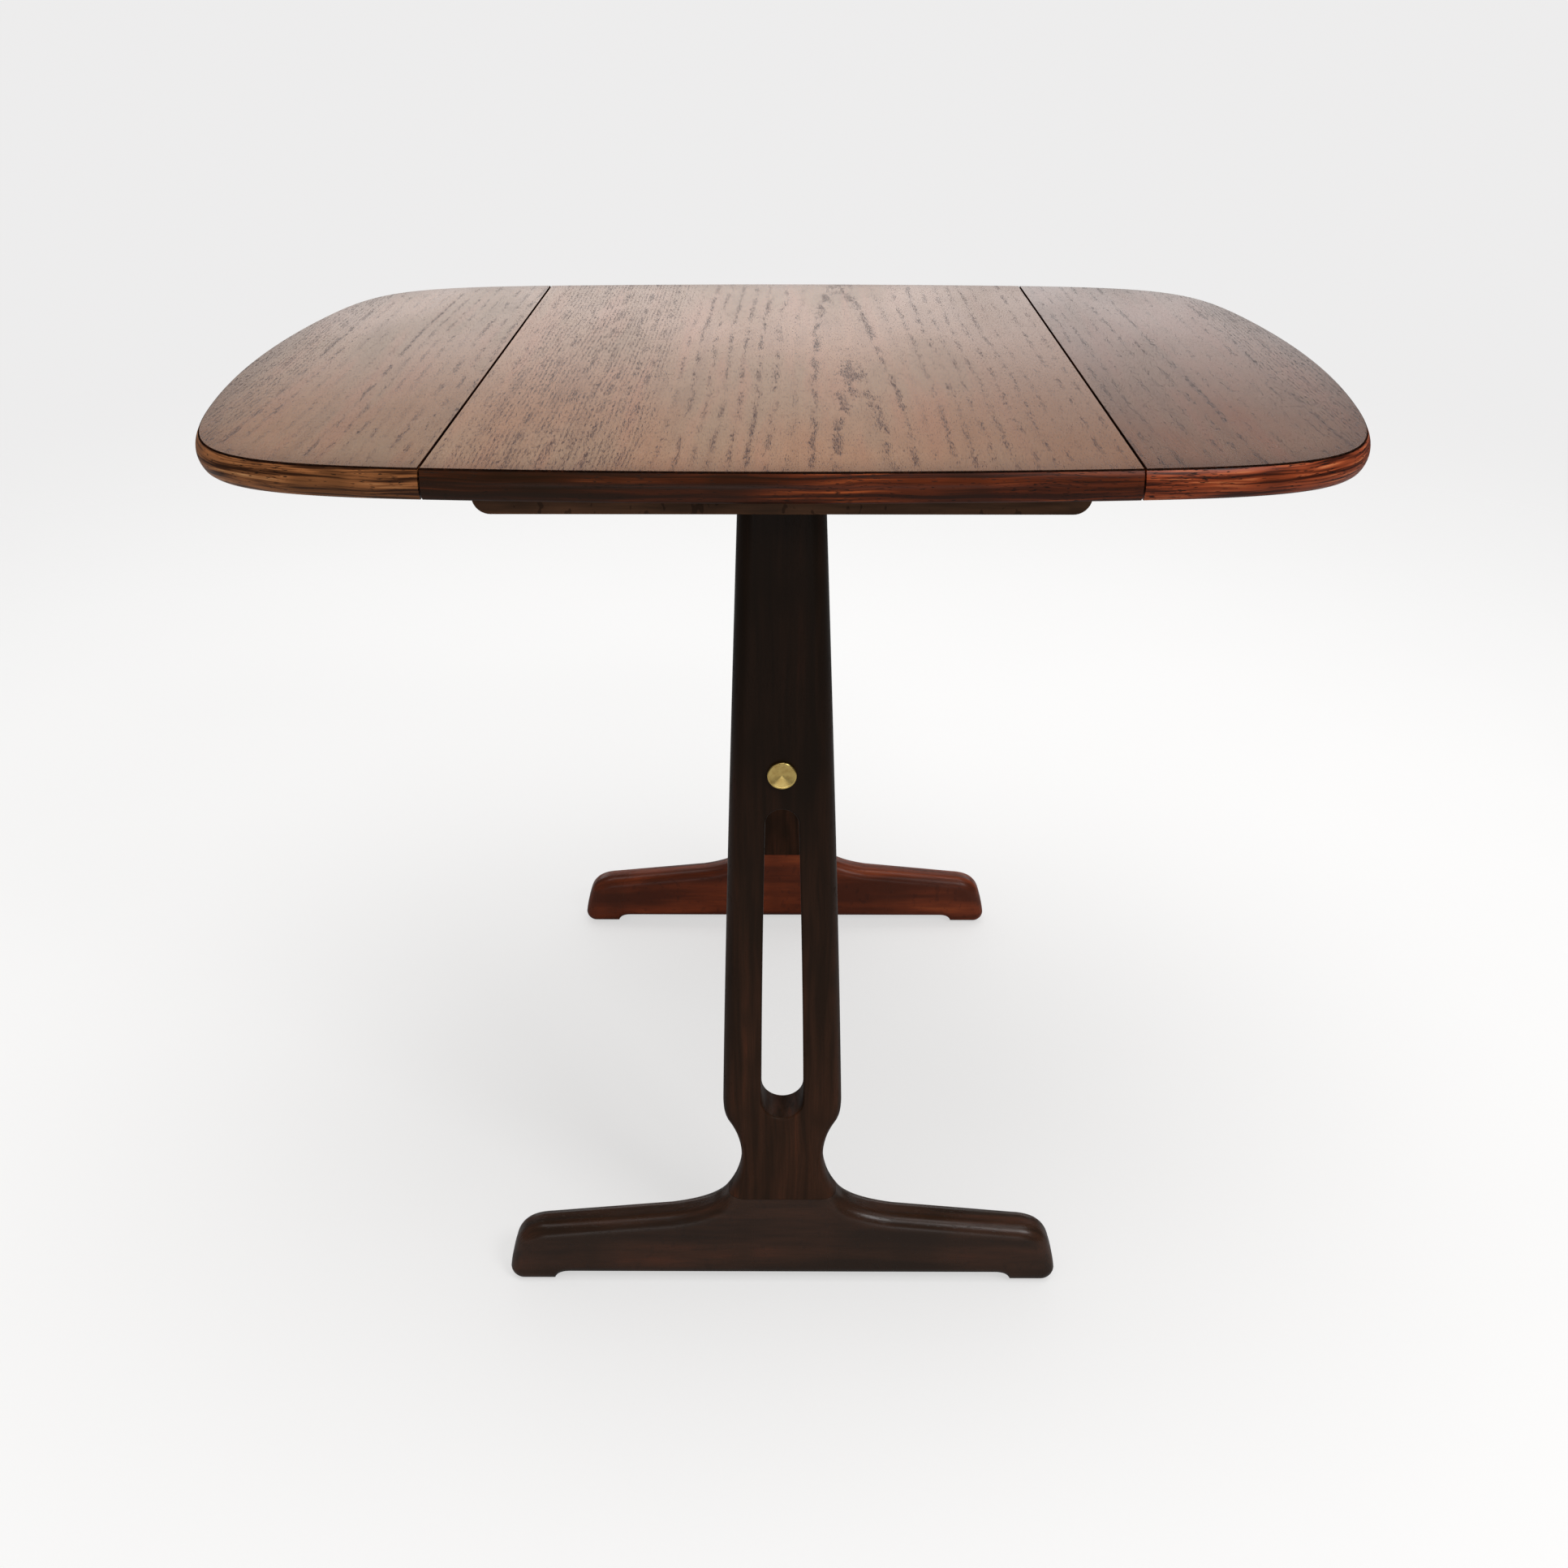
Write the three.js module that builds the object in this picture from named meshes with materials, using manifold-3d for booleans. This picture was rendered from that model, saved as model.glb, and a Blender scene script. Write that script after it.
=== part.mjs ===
// Drop leaf table: a fixed centre board on two slotted pedestal ends, with a hinged leaf on each side.
// Millimetres. X runs across the leaves, Y along the seams, +Z up, origin on the floor below the centre.

import * as THREE from 'three';
import { mergeVertices } from 'three/addons/utils/BufferGeometryUtils.js';
import Module from 'manifold-3d';

const wasm = await Module();
wasm.setup();

// ---------------------------------------------------------------- driving dimensions

const TABLE_HEIGHT = 534;
const OPEN_WIDTH = 650;
const CENTRE_WIDTH = 350;
const SEAM_LENGTH = 494; // along the seam, over the rounded edges
const END_BOW = 6; // how far the ends of the centre board swell past the seams

const BOARD = 16; // thickness of the boards
const VENEER = 0.8;
const LIPPING = 9; // width of the solid strip around the boards
const EDGE_BULGE = 3; // how far the rounded edge stands out past its own top arris
const SEAM_GAP = 1;
const GLUE_GAP = 0.1; // kept between glued pieces
const FIT = 0.25; // radial clearance of pins, bolts and dowels in their holes

const LEAF_END_SLOPE = 0.07; // radians, where the leaf's end leaves the seam
const LEAF_END_HANDLE = 104; // length of the corner curve's handle on the end, and on the side
const LEAF_SIDE_HANDLE = 88;
const LEAF_SIDE_RADIUS = 880;
const LEAF_SIDE_HALF = 133; // the side is this arc until the corner starts

const PEDESTAL_Y = 217; // mid-plane of each pedestal end
const PEDESTAL = 24; // thickness of legs and feet
const PEDESTAL_ROUND = 8; // radius of their long arrises
const LEG_TOP_HALF = 22.2;
const LEG_TAPER = { x: 32.3, z: 269 }; // the leg's side bends towards this point
const LEG_HALF = 35.6; // widest, just above the waist
const LEG_WIDEST_Z = 140;
const SHOULDER = { x: 35.8, z: 129, endZ: 124 }; // its curve into the hollow, and where that ends
const WAIST_Z = 96.5;
const WAIST_HALF = 25;
const COVE = 53; // radius of the hollow on each side of the waist
const COVE_END_Z = 65;
const JOINT_Z = 68; // leg above, foot below
const INSTEP = { x: 43.1, z: 54.5, endX: 70, endZ: 50.2 }; // the curve from the hollow to the foot's top
const FOOT_HALF = 173;
const FOOT_TOP = { x: 27, z: 42.5 }; // where the straight top ends, measured from the foot's end
const TOE = { x: 8, z: 41.5, faceX: 4.2, faceZ: 27 }; // the toe's shoulder, and the top of its face
const TOE_CORNER = 8.5; // radius of the toe's lower corner
const PAD_LENGTH = 29;
const FOOT_RELIEF = 5.2; // the foot is hollowed this much between its pads

const SLOT_TOP_Z = 330.7;
const SLOT_TOP_R = 9.3;
const SLOT_BOTTOM_Z = 143;
const SLOT_BOTTOM_R = 12.7;

const BEARER_HALF = 153;
const BEARER_DEPTH = 34;
const BEARER = 10.5;
const BEARER_CORNER = 9;
const BEARER_SCREW_X = 105;
const BEARER_SCREW = { head: 4, shank: 2, length: 20 };

const BOLT_Z = 361.6;
const BOLT = { head: 8, rise: 2.2, dish: 1.4, rim: 1.2, shank: 3, length: 62 };
const NUT = { radius: 5, length: 19, setback: 34, slotWidth: 1.2, slotDepth: 1.2 };
const STRETCHER = { width: 20, height: 44, corner: 4 };
const DOWEL = { radius: 4, length: 36, rise: 13 };
const FOOT_TENON = { width: 30, thickness: 8, depth: 22 };
const BEARER_TENON = { width: 24, thickness: 8, up: 8, down: 22 };

const HINGE_Y = 165;
const HINGE = { length: 40, width: 26, plate: 1.5, knuckle: 2.5, pin: 1.3, drop: 2.8, centre: 16 };
const KNUCKLE_GAP = 0.3;
const HINGE_SCREW_INSET = 8; // from the plate's outer edge and from its ends

const STAY_REACH = 62; // pivot spacing of every side of the stay's parallelogram
const STAY_DIP = THREE.MathUtils.degToRad(9); // pivots lie this far below the hinge axis
const STAY = { width: 12, thickness: 2.5, gap: 0.5, pin: 2.5, head: 4.5, headRise: 1.6 };
const BRACKET = { plate: 1.6, length: 32, reach: 16, tab: 14, screwInset: 5, screwShift: 1.5 };
const ELBOW_HEAD = { radius: 5.5, rise: 3 };
const THUMB = { radius: 7, thickness: 6, lobes: 12, groove: 0.8 };
const SCREW_HOLE = 1.7; // radius in the hinge plates and brackets

const LEAF_STEPS = 36; // sections of the strip along its edge
const END_STEPS = 8;

// ---------------------------------------------------------------- levels worked out from them

const UNDERSIDE_Z = TABLE_HEIGHT - BOARD;
const VENEER_Z = TABLE_HEIGHT - VENEER;
const BEARER_Z = UNDERSIDE_Z - BEARER;
const SEAM_X = CENTRE_WIDTH / 2;
const SEAM_HALF = SEAM_LENGTH / 2;
const AXIS_Z = UNDERSIDE_Z - HINGE.drop;
const EDGE_RADIUS = ((BOARD / 2) ** 2 + EDGE_BULGE ** 2) / (2 * EDGE_BULGE);
const FAR = 1000; // larger than anything here, for trimming blocks

// ---------------------------------------------------------------- finishes

function finish(colour, roughness, metalness = 0) {
  return new THREE.MeshStandardMaterial({ color: colour, roughness, metalness });
}

const topWood = finish(0x6e4a3c, 0.38);
const edgeWood = finish(0x5a2a17, 0.4);
const darkWood = finish(0x2c1a12, 0.42);
const redWood = finish(0x4a2015, 0.42);
const beech = finish(0xb98f62, 0.6);
const brass = finish(0xc9a24a, 0.25, 1);
const steel = finish(0x9c9a94, 0.4, 1);

// ---------------------------------------------------------------- solids: join and cut

function solidOf(geometry) {
  const bare = geometry.clone();
  bare.deleteAttribute('normal');
  bare.deleteAttribute('uv');
  const merged = mergeVertices(bare, 1e-4);
  const vertProperties = Float32Array.from(merged.attributes.position.array);
  const triVerts = Uint32Array.from(merged.index.array);
  return new wasm.Manifold(new wasm.Mesh({ numProp: 3, vertProperties, triVerts }));
}

function geometryOf(solid) {
  const mesh = solid.getMesh();
  const geometry = new THREE.BufferGeometry();
  geometry.setAttribute('position', new THREE.BufferAttribute(mesh.vertProperties, 3));
  geometry.setIndex(new THREE.BufferAttribute(mesh.triVerts, 1));
  geometry.computeVertexNormals();
  return geometry;
}

function cut(geometry, ...tools) {
  return geometryOf(tools.reduce((solid, tool) => solid.subtract(solidOf(tool)), solidOf(geometry)));
}

function join(geometry, ...others) {
  return geometryOf(others.reduce((solid, other) => solid.add(solidOf(other)), solidOf(geometry)));
}

function common(geometry, ...others) {
  return geometryOf(others.reduce((solid, other) => solid.intersect(solidOf(other)), solidOf(geometry)));
}

// ---------------------------------------------------------------- basic shapes

function block(x0, x1, y0, y1, z0, z1) {
  const geometry = new THREE.BoxGeometry(x1 - x0, y1 - y0, z1 - z0);
  return geometry.translate((x0 + x1) / 2, (y0 + y1) / 2, (z0 + z1) / 2);
}

// A plan drawn in X and Y, raised from z0 to z1.
function slab(shape, z0, z1) {
  const depth = z1 - z0;
  const geometry = new THREE.ExtrudeGeometry(shape, { depth, bevelEnabled: false, curveSegments: 2 });
  return geometry.translate(0, 0, z0);
}

// An elevation drawn in X and Z, running from y0 to y1.
function prism(shape, y0, y1, curveSegments = 4) {
  const geometry = new THREE.ExtrudeGeometry(shape, { depth: y1 - y0, bevelEnabled: false, curveSegments });
  return geometry.rotateX(Math.PI / 2).translate(0, y1, 0);
}

// The same with both faces' arrises rounded.
function roundedPrism(shape, centreY, thickness, radius) {
  const depth = thickness - 2 * radius;
  const geometry = new THREE.ExtrudeGeometry(shape, {
    depth,
    bevelThickness: radius,
    bevelSize: radius,
    bevelOffset: -radius,
    bevelSegments: 2,
  });
  return geometry.rotateX(Math.PI / 2).translate(0, centreY + depth / 2, 0);
}

// Round bar along Y; turn it with the geometry's own rotations for X or Z.
function rod(radius, y0, y1, segments = 12) {
  return new THREE.CylinderGeometry(radius, radius, y1 - y0, segments).translate(0, (y0 + y1) / 2, 0);
}

// Turned piece on the Y axis: [radius, y] pairs that start and end on the axis.
function turned(profile, segments = 12) {
  return new THREE.LatheGeometry(profile.map(([radius, y]) => new THREE.Vector2(radius, y)), segments);
}

function roundedBar(width, height, corner) {
  const x = width / 2;
  const y = height / 2;
  const shape = new THREE.Shape();
  shape.moveTo(x, -y + corner);
  shape.lineTo(x, y - corner);
  shape.absarc(x - corner, y - corner, corner, 0, Math.PI / 2);
  shape.absarc(-x + corner, y - corner, corner, Math.PI / 2, Math.PI);
  shape.absarc(-x + corner, -y + corner, corner, Math.PI, Math.PI * 1.5);
  shape.absarc(x - corner, -y + corner, corner, Math.PI * 1.5, Math.PI * 2);
  return shape;
}

const table = new THREE.Group();

function place(parent, name, geometry, material) {
  const mesh = new THREE.Mesh(geometry, material);
  mesh.name = name;
  parent.add(mesh);
  return mesh;
}

// ---------------------------------------------------------------- the three boards of the top

// Outer edge of the right leaf from the rear seam round to the front seam, with a little to trim at each.
function leafEdge() {
  const turn = Math.asin(LEAF_SIDE_HALF / LEAF_SIDE_RADIUS);
  const centreX = OPEN_WIDTH / 2 - LEAF_SIDE_RADIUS;
  const cornerX = centreX + LEAF_SIDE_RADIUS * Math.cos(turn);
  const endX = SEAM_X + LEAF_END_HANDLE * Math.cos(LEAF_END_SLOPE);
  const endY = SEAM_HALF - LEAF_END_HANDLE * Math.sin(LEAF_END_SLOPE);
  const sideX = cornerX - LEAF_SIDE_HANDLE * Math.sin(turn);
  const sideY = LEAF_SIDE_HALF + LEAF_SIDE_HANDLE * Math.cos(turn);
  const spare = 12;
  const spareY = SEAM_HALF + spare * Math.tan(LEAF_END_SLOPE);
  const path = new THREE.Path();
  path.moveTo(SEAM_X - spare, spareY);
  path.lineTo(SEAM_X, SEAM_HALF);
  path.bezierCurveTo(endX, endY, sideX, sideY, cornerX, LEAF_SIDE_HALF);
  path.absarc(centreX, 0, LEAF_SIDE_RADIUS, turn, -turn, true);
  path.bezierCurveTo(sideX, -sideY, endX, -endY, SEAM_X, -SEAM_HALF);
  path.lineTo(SEAM_X - spare, -spareY);
  return path.getPoints(7);
}

// Rear end of the centre board, left to right, running a little past both seams.
function centreEdge() {
  const spare = 5;
  const x = SEAM_X + spare;
  const y = SEAM_HALF + END_BOW * (1 - (x / SEAM_X) ** 2);
  const path = new THREE.Path();
  path.moveTo(-x, y);
  path.quadraticCurveTo(0, 2 * (SEAM_HALF + END_BOW) - y, x, y);
  return path.getPoints(8);
}

// The edge moved inwards, which is to the right of its direction of travel.
function inset(points, distance) {
  return points.map((point, i) => {
    const before = points[Math.max(i - 1, 0)];
    const after = points[Math.min(i + 1, points.length - 1)];
    const along = after.clone().sub(before).normalize();
    return new THREE.Vector2(point.x + along.y * distance, point.y - along.x * distance);
  });
}

const leafLine = leafEdge();
const centreLine = centreEdge();

function leafSlab(distance, z0, z1) {
  return slab(new THREE.Shape(inset(leafLine, distance)), z0, z1);
}

function centreSlab(distance, z0, z1) {
  const rear = inset(centreLine, distance);
  const front = rear.map((point) => new THREE.Vector2(-point.x, -point.y));
  return slab(new THREE.Shape([...rear, ...front]), z0, z1);
}

// A board is its core with the face veneer lying over the lipping, out to the top arris.
function boardWith(slabAt, trim) {
  const overlap = VENEER / 2;
  const core = slabAt(LIPPING, UNDERSIDE_Z, VENEER_Z + overlap);
  const veneer = slabAt(EDGE_BULGE, VENEER_Z, TABLE_HEIGHT);
  return common(join(core, veneer), trim);
}

// The solid strip with the rounded edge, under the veneer and against the core.
function lippingAlong(line, steps, core, trim) {
  const half = BOARD / 2;
  const turn = Math.asin(half / EDGE_RADIUS);
  const inner = -LIPPING - 2;
  const profile = new THREE.Shape();
  profile.moveTo(inner, -half);
  profile.absarc(-EDGE_RADIUS, 0, EDGE_RADIUS, -turn, turn);
  profile.lineTo(inner, half);
  const middleZ = UNDERSIDE_Z + half;
  const route = new THREE.CatmullRomCurve3(line.map((point) => new THREE.Vector3(point.x, point.y, middleZ)));
  // The extrusion lays the section out on its own two axes, so it's turned to match them.
  const frames = route.computeFrenetFrames(steps);
  const across = frames.normals[0];
  const outward = new THREE.Vector3(-frames.tangents[0].y, frames.tangents[0].x, 0);
  const toFrame = new THREE.Matrix3().set(
    across.dot(outward), across.z, 0,
    frames.binormals[0].dot(outward), frames.binormals[0].z, 0,
    0, 0, 1,
  );
  const section = new THREE.Shape(profile.getPoints(3).map((point) => point.applyMatrix3(toFrame)));
  const strip = new THREE.ExtrudeGeometry(section, { steps, extrudePath: route, bevelEnabled: false });
  return cut(common(strip, trim), core);
}

const leafTrim = block(SEAM_X + SEAM_GAP / 2, FAR, -FAR, FAR, 0, FAR);
const leafStripTrim = block(SEAM_X + SEAM_GAP / 2, FAR, -FAR, FAR, 0, VENEER_Z - GLUE_GAP);
const centreTrim = block(-SEAM_X + SEAM_GAP / 2, SEAM_X - SEAM_GAP / 2, -FAR, FAR, 0, FAR);
const centreStripTrim = block(
  -SEAM_X + SEAM_GAP / 2, SEAM_X - SEAM_GAP / 2, -FAR, FAR, 0, VENEER_Z - GLUE_GAP,
);

function bearerScrew(clearance, x, y) {
  const head = BEARER_SCREW.head + clearance;
  const shank = BEARER_SCREW.shank + clearance;
  const length = BEARER_SCREW.length + clearance;
  const top = clearance > 0 ? -1 : GLUE_GAP;
  const profile = [[0, top], [head, top], [head, 0.5], [shank, 2.8], [shank, length - 2], [0, length]];
  return turned(profile, 10).rotateX(Math.PI / 2).translate(x, y, BEARER_Z);
}

function addCentreBoard() {
  const screwHoles = [];
  for (const x of [-BEARER_SCREW_X, BEARER_SCREW_X]) {
    for (const y of [-PEDESTAL_Y, PEDESTAL_Y]) {
      screwHoles.push(bearerScrew(FIT, x, y));
    }
  }
  place(table, 'centre_panel', cut(boardWith(centreSlab, centreTrim), ...screwHoles), topWood);
  const core = centreSlab(LIPPING - GLUE_GAP, 0, FAR);
  const strip = lippingAlong(centreLine, END_STEPS, core, centreStripTrim);
  place(table, 'rear_end_lipping', strip, edgeWood);
  place(table, 'front_end_lipping', strip, edgeWood).rotation.z = Math.PI;
}

// ---------------------------------------------------------------- pedestal ends: leg, foot, bearer

// Right-hand outline from the bearer down past the floor; mirrored for the left.
function pedestalShape() {
  const spare = 8;
  const coveX = WAIST_HALF + COVE;
  const coveTop = Math.asin((SHOULDER.endZ - WAIST_Z) / COVE);
  const coveBottom = Math.asin((WAIST_Z - COVE_END_Z) / COVE);
  const coveTopX = coveX - COVE * Math.cos(coveTop);
  const half = new THREE.Path();
  half.moveTo(LEG_TOP_HALF, BEARER_Z + spare);
  half.quadraticCurveTo(LEG_TAPER.x, LEG_TAPER.z, LEG_HALF, LEG_WIDEST_Z);
  half.quadraticCurveTo(SHOULDER.x, SHOULDER.z, coveTopX, SHOULDER.endZ);
  half.absarc(coveX, WAIST_Z, COVE, Math.PI - coveTop, Math.PI + coveBottom);
  half.quadraticCurveTo(INSTEP.x, INSTEP.z, INSTEP.endX, INSTEP.endZ);
  half.lineTo(FOOT_HALF - FOOT_TOP.x, FOOT_TOP.z);
  half.quadraticCurveTo(FOOT_HALF - TOE.x, TOE.z, FOOT_HALF - TOE.faceX, TOE.faceZ);
  half.quadraticCurveTo(FOOT_HALF - 1, 2 * TOE_CORNER, FOOT_HALF, TOE_CORNER);
  half.lineTo(FOOT_HALF, -20);
  const right = half.getPoints(5);
  const left = right.map((point) => new THREE.Vector2(-point.x, point.y)).reverse();
  return new THREE.Shape([...right, ...left]);
}

// What is left above the floor: round outer corners, a pad at each end and a shallow hollow between.
function floorShape() {
  const padInner = FOOT_HALF - PAD_LENGTH;
  const beyond = FOOT_HALF + 10;
  const shape = new THREE.Shape();
  shape.moveTo(-FOOT_HALF + TOE_CORNER, 0);
  shape.lineTo(-padInner - FOOT_RELIEF, 0);
  shape.quadraticCurveTo(-padInner, 0, -padInner, FOOT_RELIEF);
  shape.lineTo(padInner, FOOT_RELIEF);
  shape.quadraticCurveTo(padInner, 0, padInner + FOOT_RELIEF, 0);
  shape.lineTo(FOOT_HALF - TOE_CORNER, 0);
  shape.absarc(FOOT_HALF - TOE_CORNER, TOE_CORNER, TOE_CORNER, -Math.PI / 2, 0);
  shape.lineTo(beyond, TOE_CORNER + 1);
  shape.lineTo(beyond, FAR);
  shape.lineTo(-beyond, FAR);
  shape.lineTo(-beyond, TOE_CORNER + 1);
  shape.lineTo(-FOOT_HALF, TOE_CORNER);
  shape.absarc(-FOOT_HALF + TOE_CORNER, TOE_CORNER, TOE_CORNER, Math.PI, Math.PI * 1.5);
  return shape;
}

// Long slot that narrows upwards, with round ends and barely swelling sides.
function slotShape() {
  const middleZ = (SLOT_TOP_Z + SLOT_BOTTOM_Z) / 2;
  const swell = (SLOT_TOP_R + SLOT_BOTTOM_R) / 2 + 0.8;
  const shape = new THREE.Shape();
  shape.moveTo(SLOT_BOTTOM_R, SLOT_BOTTOM_Z);
  shape.quadraticCurveTo(swell, middleZ, SLOT_TOP_R, SLOT_TOP_Z);
  shape.absarc(0, SLOT_TOP_Z, SLOT_TOP_R, 0, Math.PI);
  shape.quadraticCurveTo(-swell, middleZ, -SLOT_BOTTOM_R, SLOT_BOTTOM_Z);
  shape.absarc(0, SLOT_BOTTOM_Z, SLOT_BOTTOM_R, Math.PI, 2 * Math.PI);
  return shape;
}

function looseTenon(size, z0, z1, clearance) {
  const width = size.width + 2 * clearance;
  const thickness = size.thickness + 2 * clearance;
  const shape = roundedBar(width, thickness, thickness / 2 - 0.2);
  return slab(shape, z0 - clearance, z1 + clearance).translate(0, -PEDESTAL_Y, 0);
}

function footTenonAt(clearance) {
  return looseTenon(FOOT_TENON, JOINT_Z - FOOT_TENON.depth, JOINT_Z + FOOT_TENON.depth, clearance);
}

function bearerTenonAt(clearance) {
  return looseTenon(BEARER_TENON, BEARER_Z - BEARER_TENON.down, BEARER_Z + BEARER_TENON.up, clearance);
}

const LEG_FRONT_Y = -PEDESTAL_Y - PEDESTAL / 2;
const LEG_BACK_Y = -PEDESTAL_Y + PEDESTAL / 2;
const STRETCHER_HALF = -LEG_BACK_Y - GLUE_GAP;

function locatingDowel(clearance) {
  const half = DOWEL.length / 2 + clearance;
  const middleY = LEG_BACK_Y + 2;
  const bar = rod(DOWEL.radius + clearance, middleY - half, middleY + half, 12);
  return bar.translate(0, 0, BOLT_Z + DOWEL.rise);
}

function bearerShape() {
  const top = UNDERSIDE_Z - GLUE_GAP;
  const shape = new THREE.Shape();
  shape.moveTo(BEARER_HALF, top);
  shape.lineTo(-BEARER_HALF, top);
  shape.lineTo(-BEARER_HALF, BEARER_Z + BEARER_CORNER);
  shape.absarc(-BEARER_HALF + BEARER_CORNER, BEARER_Z + BEARER_CORNER, BEARER_CORNER, Math.PI, Math.PI * 1.5);
  shape.absarc(
    BEARER_HALF - BEARER_CORNER, BEARER_Z + BEARER_CORNER, BEARER_CORNER, Math.PI * 1.5, Math.PI * 2,
  );
  return shape;
}

// Low head with a face dished to a shallow cone and a rounded rim, on a plain shank.
function boltGeometry() {
  const { head, rise, dish, rim, shank, length } = BOLT;
  const profile = [
    [0, dish - rise], [head - rim, 0.1 - rise], [head - 0.75 * rim, -rise], [head - 0.4 * rim, -rise],
    [head, 0.4 * rim - rise], [head, -GLUE_GAP], [shank, -GLUE_GAP],
    [shank, length - 1], [shank - 1, length], [0, length],
  ];
  return turned(profile, 18).translate(0, LEG_FRONT_Y, BOLT_Z);
}

// Round nut across the bolt, tapped through its middle, with a screwdriver slot in one end.
function barrelNut() {
  const nutY = LEG_BACK_Y + NUT.setback;
  const half = NUT.length / 2;
  const body = rod(NUT.radius, -half, half, 12).rotateZ(Math.PI / 2).translate(0, nutY, BOLT_Z);
  const thread = rod(BOLT.shank + FIT, nutY - 2 * NUT.radius, nutY + 2 * NUT.radius, 12);
  const driverSlot = block(
    -FAR, -half + NUT.slotDepth, nutY - FAR, nutY + FAR,
    BOLT_Z - NUT.slotWidth / 2, BOLT_Z + NUT.slotWidth / 2,
  );
  return cut(body, thread.translate(0, 0, BOLT_Z), driverSlot);
}

// One pedestal end, drawn at the front; the rear one is the same turned half a circle.
function addEnd(end, angle) {
  const group = new THREE.Group();
  group.rotation.z = angle;
  table.add(group);
  const blank = common(
    roundedPrism(pedestalShape(), -PEDESTAL_Y, PEDESTAL, PEDESTAL_ROUND),
    prism(floorShape(), -FAR, FAR),
  );
  const aboveJoint = block(-FAR, FAR, -FAR, FAR, JOINT_Z + GLUE_GAP, BEARER_Z - GLUE_GAP);
  const belowJoint = block(-FAR, FAR, -FAR, FAR, -FAR, JOINT_Z - GLUE_GAP);
  const slot = prism(slotShape(), LEG_FRONT_Y - 1, LEG_BACK_Y + 1);
  const boltHole = rod(BOLT.shank + FIT, LEG_FRONT_Y - 1, LEG_BACK_Y + 1, 12).translate(0, 0, BOLT_Z);
  const leg = cut(
    common(blank, aboveJoint), slot, boltHole, footTenonAt(FIT), bearerTenonAt(FIT), locatingDowel(FIT),
  );
  place(group, `${end}_leg`, leg, darkWood);
  place(group, `${end}_foot`, cut(common(blank, belowJoint), footTenonAt(FIT)), redWood);
  place(group, `${end}_foot_tenon`, footTenonAt(0), beech);

  const bearerY0 = -PEDESTAL_Y - BEARER_DEPTH / 2;
  const screwHoles = [-BEARER_SCREW_X, BEARER_SCREW_X].map((x) => bearerScrew(FIT, x, -PEDESTAL_Y));
  const bearerBlank = prism(bearerShape(), bearerY0, bearerY0 + BEARER_DEPTH);
  place(group, `${end}_bearer`, cut(bearerBlank, bearerTenonAt(FIT), ...screwHoles), darkWood);
  place(group, `${end}_bearer_tenon`, bearerTenonAt(0), beech);
  for (const side of [-1, 1]) {
    const worldSide = side * Math.cos(angle) > 0 ? 'right' : 'left';
    const screw = bearerScrew(0, side * BEARER_SCREW_X, -PEDESTAL_Y);
    place(group, `${end}_bearer_screw_${worldSide}`, screw, steel);
  }

  place(group, `${end}_stretcher_bolt`, boltGeometry(), brass);
  place(group, `${end}_barrel_nut`, barrelNut(), steel);
  place(group, `${end}_stretcher_dowel`, locatingDowel(0), beech);
}

function addStretcher() {
  const shape = roundedBar(STRETCHER.width, STRETCHER.height, STRETCHER.corner);
  const rail = prism(shape, -STRETCHER_HALF, STRETCHER_HALF, 2).translate(0, 0, BOLT_Z);
  const holes = [];
  for (const angle of [0, Math.PI]) {
    const nutY = LEG_BACK_Y + NUT.setback;
    const boltHole = rod(BOLT.shank + FIT, LEG_BACK_Y - 1, LEG_FRONT_Y + BOLT.length + 6, 12);
    holes.push(boltHole.translate(0, 0, BOLT_Z).rotateZ(angle));
    holes.push(locatingDowel(FIT).rotateZ(angle));
    const nutHole = rod(NUT.radius + FIT, -STRETCHER.width, STRETCHER.width, 12).rotateZ(Math.PI / 2);
    holes.push(nutHole.translate(0, nutY, BOLT_Z).rotateZ(angle));
  }
  place(table, 'stretcher', cut(rail, ...holes), darkWood);
}

// ---------------------------------------------------------------- hinges, drawn on the right seam

function screwHole(x, y, z) {
  return rod(SCREW_HOLE, -4, 4, 8).rotateX(Math.PI / 2).translate(x, y, z);
}

// The board's plate (side -1) holds the two outer knuckles, the leaf's plate (side 1) the middle one.
function hingePlate(y, side) {
  const half = HINGE.length / 2;
  const middle = HINGE.centre / 2;
  const z1 = AXIS_Z + HINGE.drop - GLUE_GAP;
  const z0 = z1 - HINGE.plate;
  const clear = HINGE.knuckle + 0.5;
  const outer = middle + KNUCKLE_GAP;
  const spans = side > 0 ? [[y - middle, y + middle]] : [[y - half, y - outer], [y + outer, y + half]];
  // From one distance to another away from the seam, on the plate's own side.
  const strip = (near, far, y0, y1) => {
    const [x0, x1] = side > 0 ? [SEAM_X + near, SEAM_X + far] : [SEAM_X - far, SEAM_X - near];
    return block(x0, x1, y0, y1, z0, z1);
  };
  const flap = strip(clear, HINGE.width, y - half, y + half);
  const webs = spans.map(([y0, y1]) => strip(0, clear + 0.2, y0, y1));
  const knuckles = spans.map(([y0, y1]) => rod(HINGE.knuckle, y0, y1).translate(SEAM_X, 0, AXIS_Z));
  const bore = rod(HINGE.pin + FIT, y - half - 1, y + half + 1, 10).translate(SEAM_X, 0, AXIS_Z);
  const screwX = SEAM_X + side * (HINGE.width - HINGE_SCREW_INSET);
  const screwY = half - HINGE_SCREW_INSET;
  const holes = [-screwY, screwY].map((dy) => screwHole(screwX, y + dy, z0));
  return cut(join(flap, ...webs, ...knuckles), bore, ...holes);
}

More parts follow.
